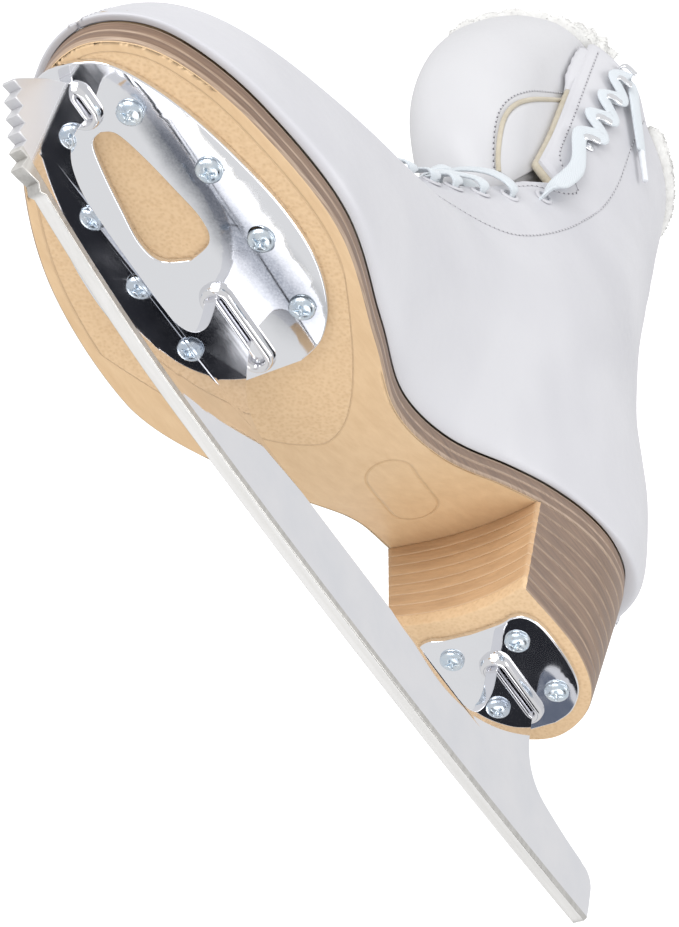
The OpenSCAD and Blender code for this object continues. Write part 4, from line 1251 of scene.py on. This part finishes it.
def make_wool():
    """The fleece pad behind the lobe's face, with a scalloped border that stands past the leather."""
    v = np.linspace(0.015, 1.0, 150)
    u = np.linspace(-1, 1, 130)
    vv, uu = np.meshgrid(v, u, indexing="ij")
    front = lobe(vv, uu, FACE_T + 0.15)
    nf = lobe_normal(vv, uu)
    back = lobe(vv, uu, FACE_T + WOOL_T)
    top = smooth((vv - leather_top(uu) + 0.005) / 0.02)
    rim = np.maximum(smooth((np.abs(uu) - 0.93) / 0.06), top)
    puff = 0.75 + 0.45 * np.abs(np.sin(uu * 21 + vv * 9))
    front = front + nf * (rim * 0.8 + top * 2.2 * puff)[..., None]
    front = np.where((rim > 0.05)[..., None], fleece(front, nf, 0.5, 2), front)
    back = fleece(back, -nf, 0.9, 4)
    # scallops push the border outward in the surface's own plane
    side = unit(lobe(vv, np.clip(uu + 0.02, -1, 1), 0) - lobe(vv, np.clip(uu - 0.02, -1, 1), 0))
    up = unit(lobe(np.clip(vv + 0.02, 0, 1), uu, 0) - lobe(np.clip(vv - 0.02, 0, 1), uu, 0))
    out_u = smooth((np.abs(uu) - 0.95) / 0.05) * np.sign(uu) * (0.5 + 1.3 * np.abs(np.sin(vv * 46)))
    out_v = smooth((vv - 0.965) / 0.03) * (0.4 + 1.3 * np.abs(np.sin(uu * 17)))
    push = side * out_u[..., None] + up * out_v[..., None]
    ob = shell("tongue_fleece", front + push, back + push, WOOL, body=LOBE, slot="wool",
               stands_for=["tongue_wool"])
    batch = Batch()
    pick = (rng.random(uu.shape) < 0.10)
    tufts(batch, (back + push)[pick], -nf[pick], 0.9, 0.35)
    edge = (rim > 0.5) & (rng.random(uu.shape) < 0.35)
    tufts(batch, (front + push)[edge], unit(nf + side * np.sign(uu)[..., None] * 0.8)[edge], 0.55, 0.24)
    batch.make("tongue_fleece_pile", WOOL, body=LOBE, slot="wool")


# The keeper patch's rolled edge as [u, v] on the lobe; the patch goes on behind the facing
PATCH_EDGE = [[0.58, 0.02], [0.51, 0.07], [0.468, 0.13], [0.45, 0.20], [0.458, 0.255], [0.495, 0.31],
              [0.55, 0.36], [0.61, 0.405], [0.68, 0.45], [0.765, 0.505], [0.85, 0.56]]
PATCH_ROOT = [[0.80, 0.03], [0.92, 0.40]]
STITCH_FROM, STITCH_SPREAD = 30, 1.1


def make_patch():
    """The lace keeper low on the lobe: a leather patch with a rolled cream top edge and a stitched arc."""
    s = np.linspace(0, 1, 90)
    edge = spline(PATCH_EDGE, s)
    root = np.asarray(PATCH_ROOT[0]) + (np.asarray(PATCH_ROOT[1]) - PATCH_ROOT[0]) * s[:, None]
    f = np.linspace(0.02, 1, 40)[None, :, None]
    grid = root[:, None] * (1 - f) + edge[:, None] * f
    uu, vv = grid[..., 0], grid[..., 1]
    h = 0.15 + 0.95 * (1 - smooth((np.broadcast_to(f[..., 0], uu.shape) - 0.93) / 0.07))
    nrm = lobe_normal(vv, uu)
    outer = lobe(vv, uu, 0) + nrm * h[..., None]
    inner = lobe(vv, uu, 0) + nrm * 0.03
    shell("tongue_patch_leather", outer, inner, WHITE_LOBE, body=LOBE, slot="white_leather",
          stands_for=["tongue_patch"])
    u, v = edge.T
    nn = lobe_normal(v, u)
    line = lobe(v, u, 0) + nn * 0.75
    sweep("tongue_patch_piping", line, unit(np.cross(tangents(line), nn)), nn, 0.85, 0.75, CREAM, 10, 2.0,
          body=LOBE, slot="lining_fabric")
    thread, holes = Batch(), Batch()
    u, v = (root[STITCH_FROM] + (edge - root[STITCH_FROM]) * STITCH_SPREAD).T
    stitches(thread, holes, lobe(v, u, 0), lobe_normal(v, u), pitch=2.2, length=1.6)
    thread.make("patch_stitch_thread", THREAD, body=LOBE, slot="white_leather")
    # the needle holes are flat discs of painted shade
    holes.make("patch_needle_holes", HOLE_SHADE, body=LOBE, slot="white_leather")


# ---- lacing ----------------------------------------------------------------------------

EYELETS = [[0.49, 44], [0.53, 43], [0.57, 42.5], [0.605, 43], [0.64, 45.5], [0.675, 50], [0.71, 58]]
HOOKS = [[0.852, 61], [0.892, 63.5], [0.928, 65.5], [0.96, 67.5], [0.985, 68]]
# The lace as (t, a, height over the leather): its way round the hooks, then heights at the eyelets
PASS = 2.6
LACE_UP = [[0.79, 60, 3.0], [0.856, 55.5, PASS], [0.873, 66, PASS], [0.893, 57.5, PASS], [0.908, 68.5, PASS],
           [0.926, 60.5, PASS], [0.943, 70, PASS], [0.958, 62.5, PASS], [0.974, 71, PASS], [0.945, 79, PASS],
           [0.915, 88, 2.4]]
OVER, UNDER, MOUTH, BELOW, CROSS_RISE = 3.0, 0.55, 2.4, -7.25, 0.07
LACE_HALF_W, HOOK_HALF_W, LACE_HALF_H = 3.3, 3.0, 0.55
# Turned profiles as (radius, height)
AGLET = [(0.6, -0.5), (1.15, -0.4), (1.25, 0.2), (1.2, 0.6), (1.15, 4), (1.12, 8), (1.08, 11.3),
         (0.9, 11.8), (0.4, 12)]
EYELET = [(1.75, -1.2), (1.75, 0.25), (1.9, 0.55), (2.3, 0.72), (2.8, 0.6), (3.1, 0.3), (3.2, 0.02),
          (2.4, -0.2)]
# the dark plug inside each eyelet, painted shade for the hole
EYELET_SHADE_PLUG = [(1.76, -1.0), (1.76, -1.6)]
RIVET = [(0.01, 1.35), (0.7, 1.3), (1.2, 1.05), (1.45, 0.6)]
# A hook's middle line as (outward along the leather, height), and its half width along that line
HOOK_LINE = [[3.2, 0.25], [1.0, 0.3], [-1.4, 0.35], [-2.6, 0.9], [-2.9, 2.0], [-2.3, 3.2], [-0.8, 3.7],
             [0.8, 3.8], [2.0, 3.9], [2.6, 4.2]]
HOOK_WIDTH = [[0, 1.0], [0.1, 1.9], [0.35, 1.8], [0.5, 1.3], [0.75, 1.5], [0.93, 1.5], [1, 0.8]]
HOOK_HALF_T = 0.42


def crossing(a, b, lift):
    """From the mouth of eyelet a over the tongue to under eyelet b of the other side."""
    steps = ((1, MOUTH), (0.6, 2.4), (0.02, lift), (-0.36, BELOW), (-0.7, BELOW), (-0.97, BELOW + 0.3))
    return [[a[0] + (b[0] - a[0]) * (1 - f) / 2 + CROSS_RISE * (1 - f * f), f * (a[1] if f > 0 else b[1]), h]
            for f, h in steps]


def mirror_a(p):
    return [p[0], -p[1], p[2]]


def climb(lift):
    out = []
    for k in range(len(EYELETS) - 1):
        c = crossing(EYELETS[k], EYELETS[k + 1], lift)
        out += c if k % 2 == 0 else [mirror_a(p) for p in c]
    return out + [[EYELETS[-1][0], EYELETS[-1][1], MOUTH]] + LACE_UP


def lace_route():
    t, a = EYELETS[0]
    bar = [[t, 0.97 * a, BELOW + 0.3], [t + 0.03, 0.5 * a, BELOW + 0.3], [t + 0.04, 0, BELOW + 0.3]]
    half = [mirror_a(p) for p in [bar[1], bar[0]] + climb(UNDER)]
    return np.array(half[::-1] + bar[::-1] + climb(OVER))


def make_lace():
    r = lace_route()
    t, a, height = r.T
    n, free, sides, square = len(r), len(LACE_UP), 12, 3.2
    dense = np.linspace(0, 1, (n - 1) * 12 + 1)
    index = dense * (n - 1)
    p = spline(on(t, a, height), dense)
    h = np.interp(index, np.arange(n), height)
    tan = tangents(p)
    # the flat lace lies across its run: up the boot at the eyelets, sideways at the hooks
    wish = skin(np.minimum(t + 0.01, 1), a) - skin(t - 0.01, a)
    sideways = skin(t, a - 2) - skin(t, a + 2)
    wish[:free], wish[n - free:] = sideways[:free], sideways[n - free:]
    wish = spline(unit(wish), dense)
    side = unit(wish - tan * (wish * tan).sum(-1, keepdims=True))
    for _ in range(6):
        side[1:-1] = unit(side[:-2] + 2 * side[1:-1] + side[2:])
    side = unit(side - tan * (side * tan).sum(-1, keepdims=True))
    up = np.cross(side, tan)
    at_hole = np.exp(-((h - 0.2) / 1.9) ** 2) * (np.abs(h - 0.2) < 4)
    at_hooks = np.clip(np.maximum(12 - index, index - (n - 13)) / 3.0, 0, 1)
    width = (LACE_HALF_W - 1.9 * at_hole) * (1 - at_hooks) + HOOK_HALF_W * at_hooks
    run = run_length(p)
    across = power(np.cos(turn(sides)), 2 / square) * 3
    sweep("lace_flat", p, side, up, width, LACE_HALF_H, LACE, sides, square, slot="lace_fabric",
          stands_for=["lace"],
          attributes={"along": np.append(np.repeat(run, sides), [0, run[-1]]),
                      "across": np.append(np.tile(across, len(p)), [0, 0])})
    return run[-1], p, up


def lathe(profile, foot, axis, across, along, sides):
    """Rings of (radius, height) round an axis that stands on a foot point."""
    return [foot + axis * h + r * (math.cos(b) * across + math.sin(b) * along)
            for r, h in profile for b in turn(sides)]


def capped(rows, sides):
    faces = grid_faces(rows, sides, close_cols=True).tolist()
    return faces + [list(range(sides))[::-1], [(rows - 1) * sides + i for i in range(sides)]]


def make_aglets(p, up):
    """Wrapped lace tips that carry on from the lace's two ends."""
    batch = Batch()
    for end, before, u in ((p[0], p[3], up[0]), (p[-1], p[-4], up[-1])):
        d = unit(end - before)
        batch.add(lathe(AGLET, end, d, np.cross(d, u), u, 16), capped(len(AGLET), 16))
    batch.make("lace_tips", TIP, slot="tip_plastic", stands_for=["aglets"])


def frame_on(t, a):
    """Point, outward normal, up-the-boot direction and sideways direction on the surface."""
    p, n = on(t, a, float(wear(np.array(t), np.array(a)))), outward(t, a)
    up = skin(t + 0.01, a) - skin(t - 0.01, a)
    up = unit(up - n * (up @ n))
    return p, n, up, np.cross(up, n)


def make_eyelets():
    for side in ("medial", "lateral"):
        rings, dark = Batch(), Batch()
        for t, a in EYELETS:
            p, n, up, sd = frame_on(t, a if side == "medial" else 360 - a)
            up = up * 1.12
            rings.add(lathe(EYELET, p, n, up, sd, 28),
                      grid_faces(len(EYELET), 28, close_cols=True, close_rows=True).tolist())
            # a near-black capped plug in each eyelet is painted shade for the hole
            dark.add(lathe(EYELET_SHADE_PLUG, p, n, up, sd, 28), capped(2, 28))
        rings.make(f"eyelets_{side}_rings", WHITE, slot="hardware", stands_for=[f"eyelets_{side}"])
        dark.make(f"eyelets_{side}_painted_hole_shade", HOLE_SHADE, slot="hardware")


def make_hooks():
    """Speed hooks: a riveted foot, a neck and a tip that curls back, open away from the throat."""
    f = np.linspace(0, 1, 34)
    line = spline(HOOK_LINE, f)
    width = np.interp(f, *np.array(HOOK_WIDTH).T)
    for side in ("medial", "lateral"):
        batch = Batch()
        for t, a in HOOKS:
            at, beyond = (a, a + 8) if side == "medial" else (360 - a, 352 - a)
            p, n, _, _ = frame_on(t, at)
            out = skin(t, beyond) - skin(t, at)
            out = unit(unit(out) - n * (unit(out) @ n))
            wide = np.cross(n, out)
            centre = p + line[:, :1] * out + line[:, 1:] * n
            thin = np.cross(tangents(centre), wide)
            across = np.broadcast_to(wide, centre.shape)
            rings = sections(centre, across, thin, width, HOOK_HALF_T, 12, 2 / 0.7)
            batch.add(rings.reshape(-1, 3), capped(len(centre), 12))
            batch.add(lathe(RIVET, p + 0.6 * out, n, out, wide, 16),
                      grid_faces(len(RIVET), 16, close_cols=True).tolist())
        batch.make(f"hooks_{side}_bent", HARDWARE, slot="hardware", stands_for=[f"hooks_{side}"])


make_upper()
make_backstay()
make_facing_edge()
make_lining()
make_insides()
make_collar()
make_tongue()
make_wool()
make_patch()
lace_length, lace_points, lace_up_dir = make_lace()
make_aglets(lace_points, lace_up_dir)
make_eyelets()
make_hooks()


# ---- camera, light and backdrop --------------------------------------------------------

# The photograph's camera: its place in mm, its own axes in the frame, focal length and height in pixels
CAMERA_AT = Vector((406.56, 339.46, -486.66)) * MM
RIGHT = Vector((-0.5132940, 0.8394481, 0.1756095))
UPWARD = Vector((0.6914183, 0.2830914, 0.6641307))
BACKWARD = Vector((0.5077657, 0.4623988, -0.7257901))
FOCAL_PX, TALL_PX, SENSOR = 2700.935, 927, 36
MIDDLE = Vector((0.035, 0, 0.15))
# Lights as (name, offset from the skate's middle along the camera's right, up and back, size, watts)
LIGHTS = [("key", (-0.5, 0.9, 1.1), 1.2, 17), ("side", (1.4, 0.2, 0.2), 0.9, 7),
          ("low", (0.2, -1.1, 0.8), 0.9, 4)]
WORLD_STRENGTH, BACKDROP_GLOW = 0.80, 0.55


def from_camera(right, up, back):
    return RIGHT * right + UPWARD * up + BACKWARD * back


def make_camera():
    cam = bpy.data.cameras.new("camera")
    cam.sensor_width = SENSOR
    cam.lens = FOCAL_PX * SENSOR / TALL_PX
    cam.clip_start, cam.clip_end = 0.01, 50
    ob = link("camera", cam)
    m = Matrix((RIGHT, UPWARD, BACKWARD)).transposed().to_4x4()
    m.translation = CAMERA_AT
    ob.matrix_world = m
    bpy.context.scene.camera = ob


def plain(name, colour, emit=0.0):
    m = Mat(name)
    m.set(Base_Color=colour, Roughness=0.9)
    if emit:
        m.set(Emission_Color=colour, Emission_Strength=emit)
    return m.m


def card(name, towards, distance, size, mat):
    """A flat card that faces the skate from a direction; only the backdrop is seen by the camera."""
    at, facing = MIDDLE + towards * distance, -towards
    x = Vector((0, 0, 1)).cross(facing).normalized()
    y = facing.cross(x)
    w, h = size[0] / 2, size[1] / 2
    me = bpy.data.meshes.new(name)
    me.from_pydata([at + x * sx * w + y * sy * h for sx, sy in ((-1, -1), (1, -1), (1, 1), (-1, 1))], [],
                   [[0, 1, 2, 3]])
    me.materials.append(mat)
    ob = link(name, me)
    ob.visible_camera = ob.visible_shadow = ob.visible_diffuse = False
    return ob


def area(name, offset, size, watts):
    li = bpy.data.lights.new(name, "AREA")
    li.shape, li.size, li.energy = "DISK", size, watts
    ob = link(name, li)
    ob.location = MIDDLE + offset
    ob.rotation_mode = "QUATERNION"
    ob.rotation_quaternion = (-offset).to_track_quat("-Z", "Y")
    ob.visible_camera = False


def make_stage():
    make_camera()
    scene = bpy.context.scene
    scene.world = bpy.data.worlds.new("studio")
    scene.world.use_nodes = True
    bg = scene.world.node_tree.nodes["Background"]
    bg.inputs["Color"].default_value = (1.0, 1.0, 1.0, 1)
    bg.inputs["Strength"].default_value = WORLD_STRENGTH
    backdrop = card("pale_backdrop", -BACKWARD, 3.2, (9, 9), plain("backdrop", (0.95, 0.95, 0.95), BACKDROP_GLOW))
    backdrop.visible_camera, backdrop.visible_glossy = True, False
    for name, offset, size, watts in LIGHTS:
        area(name, from_camera(*offset), size, watts)
    # seen only in the metal: black in the plates as the blade mirrors them, grey in the plates themselves
    twice, once = from_camera(0.52, -0.70, 0.48).normalized(), from_camera(-0.10, -0.98, 0.10).normalized()
    card("dark_card_1", twice, 1.5, (0.9, 0.9), plain("card_black", (0.006, 0.007, 0.012)))
    card("dark_card_2", once, 1.6, (0.16, 0.5), plain("card_grey", (0.10, 0.12, 0.17)))
    scene.view_settings.view_transform = "Standard"
    scene.view_settings.look = "None"


make_stage()
print("lace length mm", round(float(lace_length)))
